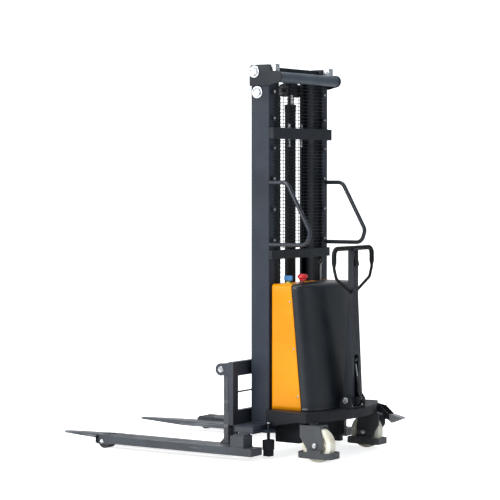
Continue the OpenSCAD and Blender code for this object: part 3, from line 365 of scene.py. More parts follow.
tube_low, tube_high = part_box("head_tube")
tube_mid = (tube_low + tube_high) / 2
tube_r = (tube_high.z - tube_low.z) / 2
half = (tube_high.y - tube_low.y) / 2
tube_wall = 0.004
# The head tube takes a lighter copy of the mast paint: a painted highlight along the tube.
made("head_tube_round", [turned(tube_mid, (0, 1, 0), [
    (tube_r - tube_wall, half - 0.02), (tube_r - tube_wall, half - 0.001), (tube_r - 0.001, half),
    (tube_r, half - 0.001), (tube_r, -half + 0.001), (tube_r - 0.001, -half),
    (tube_r - tube_wall, -half + 0.001), (tube_r - tube_wall, -half + 0.02),
    (tube_r - tube_wall, half - 0.02)], 64)],
    powder_coat("head tube highlight paint", (0.050, 0.066, 0.088), 0.40), "truck", "head_tube")

zinc = finish_of("spangled zinc", (0.62, 0.64, 0.66), 0.3, 1.0)


def spangle(material, scale, low, high):
    """Zinc crystals: flat cells of differing brightness, each with its own shine."""
    tree = material.node_tree
    place, cells = tree.nodes.new("ShaderNodeTexCoord"), tree.nodes.new("ShaderNodeTexVoronoi")
    cells.inputs["Scale"].default_value = scale
    tree.links.new(place.outputs["Object"], cells.inputs["Vector"])
    grey = tree.nodes.new("ShaderNodeSeparateColor")
    tree.links.new(cells.outputs["Color"], grey.inputs["Color"])
    tint(material, grey.outputs["Red"], low, high, (0.0, 1.0))
    vary(material, "Roughness", grey.outputs["Green"], 0.18, 0.45)


spangle(zinc, 170, (0.36, 0.40, 0.44), (0.88, 0.90, 0.92))
relief(zinc, noise(zinc, 260, 3), 0.0004)


def cap(centre, side, radius, height):
    """A pressed cap: a flat face with a rolled rim and a shallow dish in its middle."""
    rim = 0.003
    a = np.linspace(0, pi / 2, 6)
    roll = np.stack([radius - rim + rim * np.cos(a), height - rim + rim * np.sin(a)], -1)
    dish = [(radius * 0.78, height), (radius * 0.70, height - 0.0015), (radius * 0.2, height - 0.002),
            (0, height - 0.002)]
    return turned(centre, (0, side, 0), [(0, 0), (radius, 0), *roll.tolist(), *dish], 40)


plate_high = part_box("head_plates")[1]
cap_r, cap_t = 0.033, 0.007
cap_rounds = [cap((in_frame(x, 0, 0).x, side * y, mast_high.z - drop), side, cap_r, cap_t)
              for side in (-1, 1)
              for x, y, drop in ((0.086, plate_high.y, 0.032), (0.072, mast_high.y, 0.141))]
made("zinc_caps", cap_rounds, zinc, "truck", slot=slot_of["mast_caps"])
eased("mast_caps", 0.0006, zinc, keep=lambda centre: abs(centre.y) < mast_high.y - 0.001)

# ---- Wire guard ----
# Two welded panels of round wire keep hands out of the mast: level wires to the rear, upright wires
# behind them, a border rod round each panel, all dipped in black and held by dark clips.
wire_black = powder_coat("black dipped wire", (0.004, 0.006, 0.009), 0.45, 0.0001, 0.3)
guard_low, guard_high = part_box("mesh_guard")
bars_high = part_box("mast_crossbars")[1]


def rods(name, starts, ends, radius, sides=8):
    """Many straight rods in one mesh: each a ring of points at its start joined to one at its end,
    with a small domed tip at both."""
    starts, ends = np.asarray(starts, float), np.asarray(ends, float)
    along = ends - starts
    along /= np.linalg.norm(along, axis=1)[:, None]
    side = np.cross(along, np.where(np.abs(along[:, :1]) > 0.9, (0, 1, 0), (1, 0, 0)))
    side /= np.linalg.norm(side, axis=1)[:, None]
    up = np.cross(along, side)
    turn = np.linspace(0, 2 * pi, sides, endpoint=False)
    ring = radius * (np.cos(turn)[None, :, None] * side[:, None] + np.sin(turn)[None, :, None] * up[:, None])
    tip = radius * 0.4 * along[:, None]
    rows = [starts[:, None] + ring * 0, starts[:, None] + ring * 0.7, starts[:, None] + tip + ring,
            ends[:, None] - tip + ring, ends[:, None] + ring * 0.7, ends[:, None] + ring * 0]
    grids = np.stack(rows, 1)
    return several(name, list(grids))


WIRE_R, WIRE_PITCH, WIRE_GAP, BORDER_IN, BAR_H, BAR_CLEAR = 0.0016, 0.0175, 0.052, 0.012, 0.060, 0.006
panel_spans = [(guard_low.z + WIRE_R, bars_high.z - BAR_H - BAR_CLEAR),
               (bars_high.z + BAR_CLEAR, guard_high.z - WIRE_R)]
wire_x, reach_y = guard_low.x + WIRE_R, guard_high.y
starts, ends = [], []
for low, high in panel_spans:
    rows = int((high - low) / WIRE_PITCH)
    for z in np.linspace(low, high, rows + 1):
        starts.append((wire_x, -reach_y, z))
        ends.append((wire_x, reach_y, z))
    for y in [*(np.arange(-4, 5) * WIRE_GAP), -reach_y + BORDER_IN, reach_y - BORDER_IN]:
        starts.append((wire_x + 2 * WIRE_R, y, low))
        ends.append((wire_x + 2 * WIRE_R, y, high))
guard = rods("wire_guard", starts, ends, WIRE_R)
guard.data.materials.append(wire_black)
placed(guard, "truck", slot_of["mesh_guard"], "mesh_guard")
clip_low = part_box("guard_clips")[0]
eased("guard_clips", 0.0008, shaded_head_paint, other=(zinc, lambda centre: centre.x < clip_low.x + 0.0045))


# ---- Grab bars ----
# One round tube each side, bent cold to a flat C and welded to a round foot at both ends.
bar_gloss = powder_coat("grab bar paint", (0.022, 0.027, 0.038), 0.28, 0.0001)
GRAB_BEND, GRAB_R, FOOT_R, GRAB_TOP, GRAB_LOW = 0.045, 0.011, 0.012, 1.460, 1.131


def bent(points, bend, steps=8):
    """A route with round bends: each inner corner gives way to an arc of this radius that touches
    both of its straights, drawn as steps points."""
    points = np.asarray(points, float)
    route = [points[:1]]
    for a, b, c in zip(points[:-2], points[1:-1], points[2:]):
        u, w = (a - b) / np.linalg.norm(a - b), (c - b) / np.linalg.norm(c - b)
        half_turn = np.arccos(np.clip(u @ w, -1, 1)) / 2
        middle = b + (u + w) / np.linalg.norm(u + w) * bend / sin(half_turn)
        first, last = b + u * bend / tan(half_turn) - middle, b + w * bend / tan(half_turn) - middle
        swing = pi - 2 * half_turn
        t = np.linspace(0, 1, steps)[:, None]
        route.append(middle + (np.sin((1 - t) * swing) * first + np.sin(t * swing) * last) / sin(swing))
    route.append(points[-1:])
    return np.concatenate(route)


def tube(route, radius, across, sides=20, squeeze=1.0):
    """A round section carried along a route; across is a direction never in line with the route.
    radius may be one value or one for each point, and squeeze flattens the section across."""
    route = np.asarray(route, float)
    ahead = np.gradient(route, axis=0)
    ahead /= np.linalg.norm(ahead, axis=1)[:, None]
    side = np.cross(ahead, across)
    side /= np.linalg.norm(side, axis=1)[:, None]
    up = np.cross(side, ahead)
    radius = np.broadcast_to(np.asarray(radius, float), (len(route),))[:, None, None]
    turn = np.linspace(0, 2 * pi, sides, endpoint=False)
    ring = np.cos(turn)[None, :, None] * side[:, None] + squeeze * np.sin(turn)[None, :, None] * up[:, None]
    body = route[:, None] + radius * ring
    return np.concatenate([route[:1, None] + 0 * body[:1], body, route[-1:, None] + 0 * body[-1:]])


for name, side in (("grab_bar_left", 1), ("grab_bar_right", -1)):
    low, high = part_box(name)
    y = (low.y + high.y) / 2
    corners = [(-0.0015, GRAB_TOP), (-0.105, GRAB_TOP), (-0.250, 1.200), (-0.228, GRAB_LOW),
               (-0.0015, GRAB_LOW)]
    route = bent([(in_frame(x, 0, 0).x, y, z) for x, z in corners], GRAB_BEND, 12)
    feet = [turned((high.x, y, z), (-1, 0, 0), [
        (0, 0), (FOOT_R, 0), (FOOT_R, 0.004), (FOOT_R - 0.001, 0.006), (GRAB_R, 0.0062)], 32)
        for z in (GRAB_TOP, GRAB_LOW)]
    made(name + "_bent", [tube(route, GRAB_R, (0, 1, 0), 28), *feet], bar_gloss, "truck", name)

# ---- Lift cylinder, rod and crosshead ----
# A honed tube stands on the beam with a screwed gland on top. The chromed rod carries the crosshead
# and its axle, and the whole inner mast hangs on it.
def brushed(name, colour, rough, stretch=(60, 60, 1)):
    """Machined steel: fine streaks along or round the piece, and a drift in its shine."""
    steel = finish_of(name, colour, rough, 1.0)
    shade = np.array(colour)
    tint(steel, noise(steel, 6, 4), tuple(shade * 0.8), tuple(np.minimum(shade * 1.15, 1)))
    vary(steel, "Roughness", noise(steel, 4, 5, stretch), rough - 0.08, rough + 0.12)
    relief(steel, noise(steel, 12, 3, stretch), 0.00008, 0.3)
    return steel


steel = brushed("machined steel", (0.48, 0.49, 0.51), 0.28)
black_oxide = brushed("oiled black steel", (0.055, 0.057, 0.062), 0.42)
barrel_low, barrel_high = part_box("cylinder_tube")
barrel = (barrel_low + barrel_high) / 2
gland_r = (barrel_high.x - barrel_low.x) / 2
barrel_r, rod_r, gland_h = gland_r - 0.0015, 0.0175, 0.040
base_z, gland_z, top_z = barrel_low.z, barrel_high.z - gland_h, barrel_high.z
made("cylinder_barrel", [turned((barrel.x, barrel.y, 0), (0, 0, 1), [
    (0, base_z), (barrel_r, base_z), (barrel_r, base_z + 0.018), (barrel_r - 0.0012, base_z + 0.020),
    (barrel_r - 0.0012, base_z + 0.024), (barrel_r, base_z + 0.026), (barrel_r, gland_z - 0.004),
    (barrel_r - 0.001, gland_z), (gland_r - 0.001, gland_z), (gland_r, gland_z + 0.001),
    (gland_r, gland_z + 0.012), (gland_r - 0.0015, gland_z + 0.013), (gland_r - 0.0015, gland_z + 0.016),
    (gland_r, gland_z + 0.017), (gland_r, top_z - 0.003), (gland_r - 0.003, top_z),
    (rod_r + 0.005, top_z), (rod_r + 0.0045, top_z - 0.003), (rod_r + 0.0006, top_z - 0.004),
    (rod_r + 0.0006, top_z - 0.030)], 64)], deck_paint, "truck", "cylinder_tube")
rod_low, rod_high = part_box("lift_rod")
piston_r = (rod_high.x - rod_low.x) / 2
chrome = finish_of("hard chrome", (0.72, 0.73, 0.75), 0.12, 1.0)
vary(chrome, "Roughness", noise(chrome, 14, 4, (1, 1, 0.1)), 0.08, 0.2)
relief(chrome, noise(chrome, 40, 3, (1, 1, 0.02)), 0.00004, 0.3)
made("chromed_rod", [turned((barrel.x, barrel.y, 0), (0, 0, 1), [
    (0, rod_low.z), (piston_r - 0.002, rod_low.z), (piston_r, rod_low.z + 0.002),
    (piston_r, rod_low.z + 0.012), (piston_r - 0.002, rod_low.z + 0.013),
    (piston_r - 0.002, rod_low.z + 0.020), (piston_r, rod_low.z + 0.021),
    (piston_r, rod_low.z + 0.038), (piston_r - 0.002, rod_low.z + 0.040),
    (rod_r, rod_low.z + 0.040), (rod_r, rod_high.z - 0.001), (rod_r - 0.001, rod_high.z),
    (0, rod_high.z)], 64)], chrome, "inner_mast", "lift_rod")
# The inner mast takes a much darker copy of the mast paint: painted shade on rails that stand in shade
# inside the outer mast.
shaded_inner_paint = powder_coat("inner mast shade paint", (0.005, 0.009, 0.015), 0.45, shine=0.25)
for node in ("inner_rails", "inner_crossbars", "crosshead"):
    eased(node, 0.0018, shaded_inner_paint)

# ---- Chain wheels and lift chains ----
# Leaf chain of laced plates on round pins runs from an anchor bolt on the upper crossbar, over its
# wheel on the crosshead, and down to the carriage.
wheels_low, wheels_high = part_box("chain_wheels")
wheel_z, wheel_x = (wheels_low.z + wheels_high.z) / 2, (wheels_low.x + wheels_high.x) / 2
flange_r = (wheels_high.z - wheels_low.z) / 2
GROOVE_R, BORE_R, CHAIN_Y, HALF_CHAIN, FLANGE_T = flange_r - 0.009, 0.0111, 0.061, 0.008, 0.004
edge = HALF_CHAIN + 0.0005
wheel_profile = [(BORE_R, -edge - FLANGE_T), (0.017, -edge - FLANGE_T), (0.018, -edge - FLANGE_T + 0.001),
                 (flange_r - 0.006, -edge - FLANGE_T + 0.001), (flange_r - 0.004, -edge - FLANGE_T),
                 (flange_r - 0.001, -edge - FLANGE_T), (flange_r, -edge - FLANGE_T + 0.001),
                 (flange_r, -edge - 0.001), (flange_r - 0.001, -edge), (GROOVE_R, -edge)]
wheel_profile += [(r, -y) for r, y in reversed(wheel_profile)]
made("chain_sheaves", [
    turned((wheel_x, side * CHAIN_Y, wheel_z), (0, 1, 0), wheel_profile, 64)
    for side in (-1, 1)], black_oxide, "chain_wheels", "chain_wheels")

LINK_PITCH, LINK_H, PLATE_T, PIN_R = 0.0127, 0.0088, 0.0018, 0.0022


def link_chain(route, y):
    """Leaf chain along a route of (x, z) points one pitch apart: odd and even plates laced across the
    width, each a figure of eight drawn as a waisted oval, and a pin at every point."""
    route = np.asarray(route, float)
    ahead = np.diff(route, axis=0)
    size = np.linalg.norm(ahead, axis=1)
    ahead /= size[:, None]
    turn = np.linspace(0, 2 * pi, 14, endpoint=False)
    long = 0.5 + (0.5 + 0.42 * LINK_H / LINK_PITCH) * np.cos(turn)
    tall = LINK_H / 2 * np.sin(turn) * (0.84 + 0.16 * np.abs(np.cos(turn)))
    strips = []
    for lane in range(8):
        picks = np.arange(lane % 2, len(size), 2)
        at = y - HALF_CHAIN + (lane + 0.5) * 2 * HALF_CHAIN / 8
        run = route[picks, None] + ahead[picks, None] * (long * size[picks, None])[..., None]
        run = run + np.stack([-ahead[picks, 1], ahead[picks, 0]], -1)[:, None] * tall[None, :, None]
        for shift, scale in ((-1, 0), (-1, 1), (1, 1), (1, 0)):
            middle = run.mean(1, keepdims=True)
            ring = middle + (run - middle) * scale
            level = at + 0 * ring[..., 0] + shift * PLATE_T / 2
            strips.append(np.stack([ring[..., 0], level, ring[..., 1]], -1))
    pins = [[(x, y - HALF_CHAIN, z) for x, z in route], [(x, y + HALF_CHAIN, z) for x, z in route]]
    grids = [np.stack([strips[4 * lane + k][i] for k in range(4)])
             for lane in range(8) for i in range(len(strips[4 * lane]))]
    return grids, pins


def chain_piece(name, routes, node):
    """Both chains' runs as one piece and their pins as another, laid between the two bodies that hold the
    ends; neither piece rides a body.
    """
    grids, starts, ends = [], [], []
    for route in routes:
        for side in (-1, 1):
            plates, pins = link_chain(route, side * CHAIN_Y)
            grids += plates
            starts += pins[0]
            ends += pins[1]
    chain = several(name, grids)
    chain.data.materials.append(black_oxide)
    joined = rods(name + "_pins", starts, ends, PIN_R, 6)
    joined.data.materials.append(steel)
    for piece in (chain, joined):
        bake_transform(piece)
    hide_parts(node)


chain_in, chain_t = GROOVE_R + 0.0003, 0.009
chain_r = chain_in + chain_t / 2
rear_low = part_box("chain_rear")[0]
front_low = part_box("chain_front")[0]
links = round((wheel_z - rear_low.z) / LINK_PITCH)
rear_route = [(wheel_x - chain_r, z) for z in np.linspace(rear_low.z + 0.004, wheel_z - 0.006, links)]
chain_piece("lift_chain_rear", [rear_route],
            "chain_rear")
links = round((wheel_z - front_low.z) / LINK_PITCH)
over = [(wheel_x - chain_r * cos(a), wheel_z + chain_r * sin(a)) for a in np.linspace(0, pi, 10)]
down = [(wheel_x + chain_r, z) for z in np.linspace(wheel_z, front_low.z + 0.004, links)[1:]]
chain_piece("lift_chain_front", [over + down],
            "chain_front")
eased("chain_anchors", 0.0008, zinc)

# ---- Mast and carriage rollers ----
# Sealed ball bearings with a thick outer race, pressed on stubs, run inside the channels.
def bearing(centre, axis, outer, bore, half_w):
    """A sealed bearing: a rounded outer race, a sunk seal ring on both faces and an inner race."""
    race, seal = outer - 0.009, bore + 0.004
    face = [(bore, 0), (bore, half_w - 0.001), (bore + 0.001, half_w), (seal, half_w),
            (seal + 0.0005, half_w - 0.001), (race - 0.0005, half_w - 0.001), (race, half_w),
            (outer - 0.003, half_w), (outer - 0.0008, half_w - 0.0022), (outer, half_w - 0.004), (outer, 0)]
    return turned(centre, axis, face + [(r, -y) for r, y in reversed(face[:-1])], 56)


for node, half_w, stub in (("mast_rollers_low", 0.017, 0.0151), ("mast_rollers_high", 0.017, 0.0151),
                           ("carriage_rollers_low", 0.016, 0.0131),
                           ("carriage_rollers_high", 0.016, 0.0131)):
    low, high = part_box(node)
    outer = (high.z - low.z) / 2
    made(node + "_sealed", [
        bearing(((low.x + high.x) / 2, side * (high.y - half_w), (low.z + high.z) / 2), (0, 1, 0),
                outer - 0.0002, stub, half_w) for side in (-1, 1)], steel, node, node)

# ---- Fork carriage ----
# Two flat bars with end plates and lugs, welded up, ride on the rollers. A bright shaft runs through
# the lugs and the fork eyes.
carriage_paint = powder_coat("carriage paint", (0.034, 0.040, 0.054), 0.42, shine=0.4)
eased("carriage_frame", 0.002, carriage_paint)
shaft_low, shaft_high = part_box("fork_shaft")
shaft = (shaft_low + shaft_high) / 2
shaft_r, shaft_half = (shaft_high.z - shaft_low.z) / 2, (shaft_high.y - shaft_low.y) / 2
end = [(0, shaft_half - 0.002), (0.004, shaft_half - 0.0005), (0.005, shaft_half),
       (shaft_r - 0.003, shaft_half), (shaft_r, shaft_half - 0.003)]
made("fork_shaft_turned", [turned(shaft, (0, 1, 0),
                     end + [(r, -y) for r, y in reversed(end)], 56)], steel, "carriage", "fork_shaft")

# ---- Forks ----
# Each is forged from one bar: a shank with an eye for the shaft, and a blade drawn down to its tip.
# Pale streaks from a stretched noise run along each blade: partly scuffed paint, partly painted highlights.
def wear_and_sheen(material, pale_patch, scale, span, stretch):
    """Pale patches where a stretched noise is high: the colour goes to a paler grey that stands for worn,
    dusty paint and, on the forks and legs, also for painted highlights.
    """
    tree = material.node_tree
    shader = tree.nodes["Principled BSDF"]
    under = shader.inputs["Base Color"].links[0].from_socket
    mask, mix = tree.nodes.new("ShaderNodeMapRange"), tree.nodes.new("ShaderNodeMix")
    mask.inputs["From Min"].default_value, mask.inputs["From Max"].default_value = span
    mix.data_type = "RGBA"
    tree.links.new(noise(material, scale, 6, stretch), mask.inputs["Value"])
    tree.links.new(mask.outputs["Result"], mix.inputs["Factor"])
    tree.links.new(under, mix.inputs["A"])
    mix.inputs["B"].default_value = (*pale_patch, 1)
    tree.links.new(mix.outputs["Result"], shader.inputs["Base Color"])


fork_paint = powder_coat("fork paint", (0.058, 0.063, 0.075), 0.36)
wear_and_sheen(fork_paint, (0.24, 0.25, 0.27), 9, (0.56, 0.74), (0.35, 5, 5))
for node in ("fork_left", "fork_right"):
    eased(node, 0.0025, fork_paint, 3)

# ---- Straddle legs ----
# Box section legs with a welded tower that bolts under the beam, and a steel-axled nylon roller in
# the slot near each tip.
leg_paint = powder_coat("leg paint", (0.045, 0.051, 0.062), 0.35)
# Pale patches on the legs: partly worn paint, partly painted highlights.
wear_and_sheen(leg_paint, (0.16, 0.17, 0.18), 11, (0.63, 0.80), (0.3, 4, 4))
TOWER_X, TOWER_HALF, LEG_TOP, AXLE_CLEAR = (0.009, 0.092), 0.044, 0.071, 0.012
for side, node in ((1, "leg_left"), (-1, "leg_right")):
    low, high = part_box(node)
    roller_low, roller_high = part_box("load_" + node.replace("leg", "roller"))
    middle = (roller_low + roller_high) / 2
    outer_y = side * max(abs(low.y), abs(high.y))
    eased(node, 0.003, leg_paint, 3, keep=lambda centre: abs(centre.y - outer_y) > 0.003
          or np.hypot(centre.x - middle.x, centre.z - middle.z) > AXLE_CLEAR)
    rear, front = (in_frame(x, 0, 0).x for x in TOWER_X)
    near, far = middle.y - TOWER_HALF, middle.y + TOWER_HALF
    weld_beads(node + "_tower_weld", [
        ((x, y, LEG_TOP), (x2, y2, LEG_TOP), 0.004)
        for x, y, x2, y2 in ((rear, near, rear, far), (front, near, front, far),
                             (rear, near, front, near), (rear, far, front, far))],
        node, leg_paint, slot_of[node])
    made(node + "_axle_end", [turned((middle.x, outer_y, middle.z), (0, side, 0), [
        (0, -0.004), (0.0115, -0.004), (0.0115, -0.0012), (0.0105, -0.0003), (0.004, -0.0003),
        (0.0035, -0.0012), (0, -0.0012)], 36)], zinc, node, slot="zinc")

nylon = finish_of("black nylon", (0.045, 0.045, 0.047), 0.5)
vary(nylon, "Roughness", noise(nylon, 60, 4), 0.4, 0.62)
relief(nylon, noise(nylon, 180, 4), 0.0003)
for node in ("load_roller_left", "load_roller_right"):
    low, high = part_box(node)
    middle, outer, half_w = (low + high) / 2, (high.z - low.z) / 2, (high.y - low.y) / 2
    face = [(0.0101, 0), (0.0101, half_w - 0.001), (0.014, half_w), (0.017, half_w - 0.003),
            (outer - 0.010, half_w - 0.003), (outer - 0.009, half_w), (outer - 0.003, half_w),
            (outer - 0.0008, half_w - 0.0015), (outer, half_w - 0.004), (outer, 0)]
    made(node + "_moulded", [turned(middle, (0, 1, 0),
                     face + [(r, -y) for r, y in reversed(face[:-1])], 64)], nylon, node, node)

# ---- Screw jacks ----
# A threaded rod in a nut plate beside the mast, with a square foot block.
def threaded(centre, bottom, top, radius, pitch, depth, sides=24):
    """A thread: the radius falls to its root and back once each pitch, and the crest climbs one
    pitch a turn."""
    rows = int((top - bottom) / pitch * 6)
    z = np.linspace(bottom, top, rows)[:, None]
    turn = np.linspace(0, 2 * pi, sides, endpoint=False)[None, :]
    wave = np.abs(((z / pitch - turn / (2 * pi)) % 1) * 2 - 1)
    r = radius - depth * wave
    r[:3], r[-1] = radius, radius - depth
    x, y = centre[0] + r * np.cos(turn), centre[1] + r * np.sin(turn)
    rod_points = np.stack([x, y, z + 0 * x], -1)
    ends = [np.array([centre[0], centre[1], level]) + 0 * rod_points[:1] for level in (bottom, top)]
    return np.concatenate([ends[0], rod_points, ends[1]])


BLOCK_TOP = 0.102
for node, body in (("jack_screw_left", "jack_left"), ("jack_screw_right", "jack_right")):
    low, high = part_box(node)
    middle = (low + high) / 2
    made(node + "_thread", [
        threaded(middle, BLOCK_TOP - 0.004, high.z, 0.009, 0.003, 0.0012)],
        black_oxide, body, slot=slot_of[node])
    eased(node, 0.002, deck_paint, keep=lambda centre: centre.z < BLOCK_TOP + 0.0005)
    made(node + "_tip", [turned((middle.x, middle.y, high.z), (0, 0, 1), [
        (0, -0.008), (0.0094, -0.008), (0.0094, -0.003), (0.0065, -0.0004), (0, -0.0003)], 24)],
        zinc, body, slot="zinc")

# ---- Casters ----
# A pressed fork with a foot guard swivels on a pin under the deck, and a cast nylon wheel turns on
# a through axle with a nut on both ends.
caster_paint = powder_coat("caster paint", (0.056, 0.060, 0.066), 0.45)
wear_and_sheen(caster_paint, (0.14, 0.14, 0.13), 24, (0.62, 0.80), (1, 1, 1))
cream = finish_of("cast nylon", (0.86, 0.82, 0.66), 0.38, Subsurface_Weight=0.15, Subsurface_Scale=0.01)
tint(cream, noise(cream, 14, 6), (0.72, 0.66, 0.50), (0.95, 0.92, 0.80), (0.25, 0.6))
relief(cream, noise(cream, 90, 4), 0.0004)


def cast_wheel(centre, radius, half_w, bore, hub_r, spokes):
    """A cast wheel: a rim with rounded shoulders, a web that dishes in towards the hub and swells at
    each spoke, and a hub that stands out to both sides."""
    turn = np.linspace(0, 2 * pi, 96, endpoint=False)
    rim_in = radius * 0.70
    tread = [(radius - 0.010, half_w), (radius - 0.004, half_w - 0.002), (radius - 0.001, half_w - 0.007),
             (radius, half_w - 0.012), (radius, 0)]
    flat = [(bore, 0), (bore, half_w + 0.002), (hub_r - 0.003, half_w + 0.002), (hub_r, half_w - 0.001)]
    web = np.linspace(0, 1, 9)[1:-1]
    dish = [(hub_r + (rim_in - hub_r) * t, half_w - 0.014 * sin(pi * t) ** 0.6) for t in web]
    face = np.array(flat + dish + [(rim_in, half_w - 0.001), (rim_in + 0.003, half_w)] + tread)
    swell = np.zeros(len(face))
    swell[len(flat):len(flat) + len(dish)] = np.sin(pi * web)
    r = face[:, :1] + 0 * turn
    y = face[:, 1:] + 0.007 * swell[:, None] * np.maximum(np.cos(spokes * turn), 0) ** 2
    r, y = np.concatenate([r, r[::-1]]), np.concatenate([y, -y[::-1]])
    return np.stack([centre[0] + r * np.cos(turn), centre[1] + y, centre[2] + r * np.sin(turn)], -1)


def hex_nut(centre, axis, across_flats, height, washer):
    """A chamfered hexagon nut on a round washer, as a grid: six flats, cut at the top by a cone."""
    turn = np.linspace(0, 2 * pi, 36, endpoint=False)
    hexagon = across_flats / 2 / np.cos((turn + pi / 6) % (pi / 3) - pi / 6)
    rows = [(0 * turn, 0), (0 * turn + washer, 0), (0 * turn + washer, 0.0015), (hexagon, 0.0016),
            (hexagon, height - 0.0012), (np.minimum(hexagon, across_flats / 2), height),
            (0 * turn + across_flats * 0.28, height), (0 * turn + across_flats * 0.26, height + 0.0015),
            (0 * turn, height + 0.0015)]
    along, side, up = axes(axis)
    ring = np.cos(turn)[:, None] * side + np.sin(turn)[:, None] * up
    return np.stack([np.array(centre) + level * along + reach[:, None] * ring for reach, level in rows])


for name in ("left", "right"):
    node = "caster_wheel_" + name
    eased("caster_fork_" + name, 0.0015, caster_paint)
    low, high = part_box(node)
    middle, radius = (low + high) / 2, (high.z - low.z) / 2
    made(node + "_cast", [cast_wheel(middle, radius, 0.028, 0.01005, 0.024, 6)], cream, node, node)
    made(f"caster_{name}_nuts", [
        hex_nut((middle.x, middle.y + side * 0.0462, middle.z), (0, side, 0), 0.019, 0.008, 0.013)
        for side in (-1, 1)], zinc, "caster_" + name, slot="zinc")
pedal_steel = brushed("worn pedal steel", (0.42, 0.43, 0.45), 0.4)
eased("brake_pedal", 0.0015, pedal_steel)

# ---- Power pack under the covers ----
# Battery, oil tank, pump motor and charger stand on the deck, out of sight while the covers are on.
case_plastic = powder_coat("black case plastic", (0.022, 0.022, 0.024), 0.5)
tank_plastic = finish_of("milky tank plastic", (0.55, 0.54, 0.47), 0.4, Subsurface_Weight=0.2)
relief(tank_plastic, noise(tank_plastic, 70, 4), 0.0003)
cast_alloy = brushed("cast alloy", (0.33, 0.34, 0.35), 0.45, (1, 1, 1))
for node, material in (("battery", case_plastic), ("oil_tank", tank_plastic), ("pump_motor", steel),
                       ("charger", cast_alloy)):
    eased(node, 0.003, material, 3)

# ---- Front cover ----
# A gloss orange cover, vacuum formed as one upside-down U, screwed to the deck and open to the mast.
orange = finish_of("gloss orange", (0.93, 0.35, 0.006), 0.3, Coat_Weight=0.1,
                   Coat_Roughness=0.1, Specular_IOR_Level=0.2)
tint(orange, noise(orange, 3, 4), (0.90, 0.310, 0.002), (0.96, 0.365, 0.005))
vary(orange, "Roughness", noise(orange, 6, 7), 0.2, 0.34)
relief(orange, noise(orange, 30, 2), 0.0002, 0.35)
front_low, front_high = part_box("front_cover")
SEAM_TOP, SEAM_LOW, COVER_FRONT, COVER_ROUND, COVER_WALL = 0.128, 0.192, 0.008, 0.018, 0.0035
deck_z, cover_z, cover_half = front_low.z, front_high.z, front_high.y


def seam_x(z, gap=0.0):
    """The seam's place at a height: it leans back in a straight line from the top to the deck."""
    share = (z - deck_z) / (cover_z - deck_z)
    return in_frame(0, 0, 0).x - (SEAM_LOW + (SEAM_TOP - SEAM_LOW) * share) - gap


def arch_cover(round_r):
    """The U: up one side, round a corner, across the top and down the other side, carried from the
    mast to the seam, with both ends rolled inwards by a small quarter round."""
    a = np.linspace(0, pi / 2, 12)
    up = np.linspace(deck_z, cover_z - round_r, 30)
    side = np.stack([cover_half + 0 * up, up], -1)
    corner = np.stack([cover_half - round_r + round_r * np.cos(a),
                       cover_z - round_r + round_r * np.sin(a)], -1)
    flat = np.linspace(cover_half - round_r, round_r - cover_half, 30)
    across = np.stack([flat, np.full(30, cover_z)], -1)
    arch = np.concatenate([side[:-1], corner[:-1], across[:-1],
                           (corner * (-1, 1))[::-1][:-1], (side * (-1, 1))[::-1]])
    middle = np.clip(arch, (round_r - cover_half, deck_z), (cover_half - round_r, cover_z - round_r))
    inward = middle - arch
    inward /= np.linalg.norm(inward, axis=1)[:, None]
    roll = 0.004
    rows = []
    front = in_frame(-COVER_FRONT, 0, 0).x
    back = seam_x(arch[:, 1])
    for along, sink in [(0.0, roll), *[(roll * (1 - sin(t)), roll * (1 - cos(t))) for t in (1.2, 0.8, 0.4)]]:
        rows.append((front - along, arch + inward * sink))
    for t in np.linspace(0, 1, 12)[1:-1]:
        rows.append((front + (back - front) * t, arch))
    for along, sink in [*[(roll * (1 - sin(t)), roll * (1 - cos(t))) for t in (0.0, 0.4, 0.8, 1.2)],
                        (0.0, roll)]:
        rows.append((back + along, arch + inward * sink))
    return np.stack([np.stack([x + 0 * p[:, 0], p[:, 0], p[:, 1]], -1) for x, p in rows])


def walled(name, grid, material, node):
    """A moulded skin through a grid of points, its wall grown inwards, that stands for a cover."""
    piece = several(name, [grid], closed=False)
    shell = piece.modifiers.new("wall", "SOLIDIFY")
    shell.thickness, shell.offset = COVER_WALL, -1
    piece.data.materials.append(material)
    placed(piece, "truck", slot_of[node], node)


walled("front_cover_formed", arch_cover(COVER_ROUND), orange, "front_cover")

# ---- Rear cover ----
# A black moulded cover with a fine pebble grain. Its sides roll round to a bowed back that leans
# towards the mast, and a raised bead runs along the seam and round the foot.
black_abs = finish_of("pebbled black plastic", (0.007, 0.010, 0.015), 0.34)
tint(black_abs, noise(black_abs, 4, 5), (0.0055, 0.008, 0.0125), (0.009, 0.0125, 0.0185))
vary(black_abs, "Roughness", noise(black_abs, 9, 6), 0.28, 0.40)
relief(black_abs, noise(black_abs, 700, 2), 0.00035, 0.6)
BACK_LOW, BACK_TOP, CROWN = 0.296, 0.222, 0.007


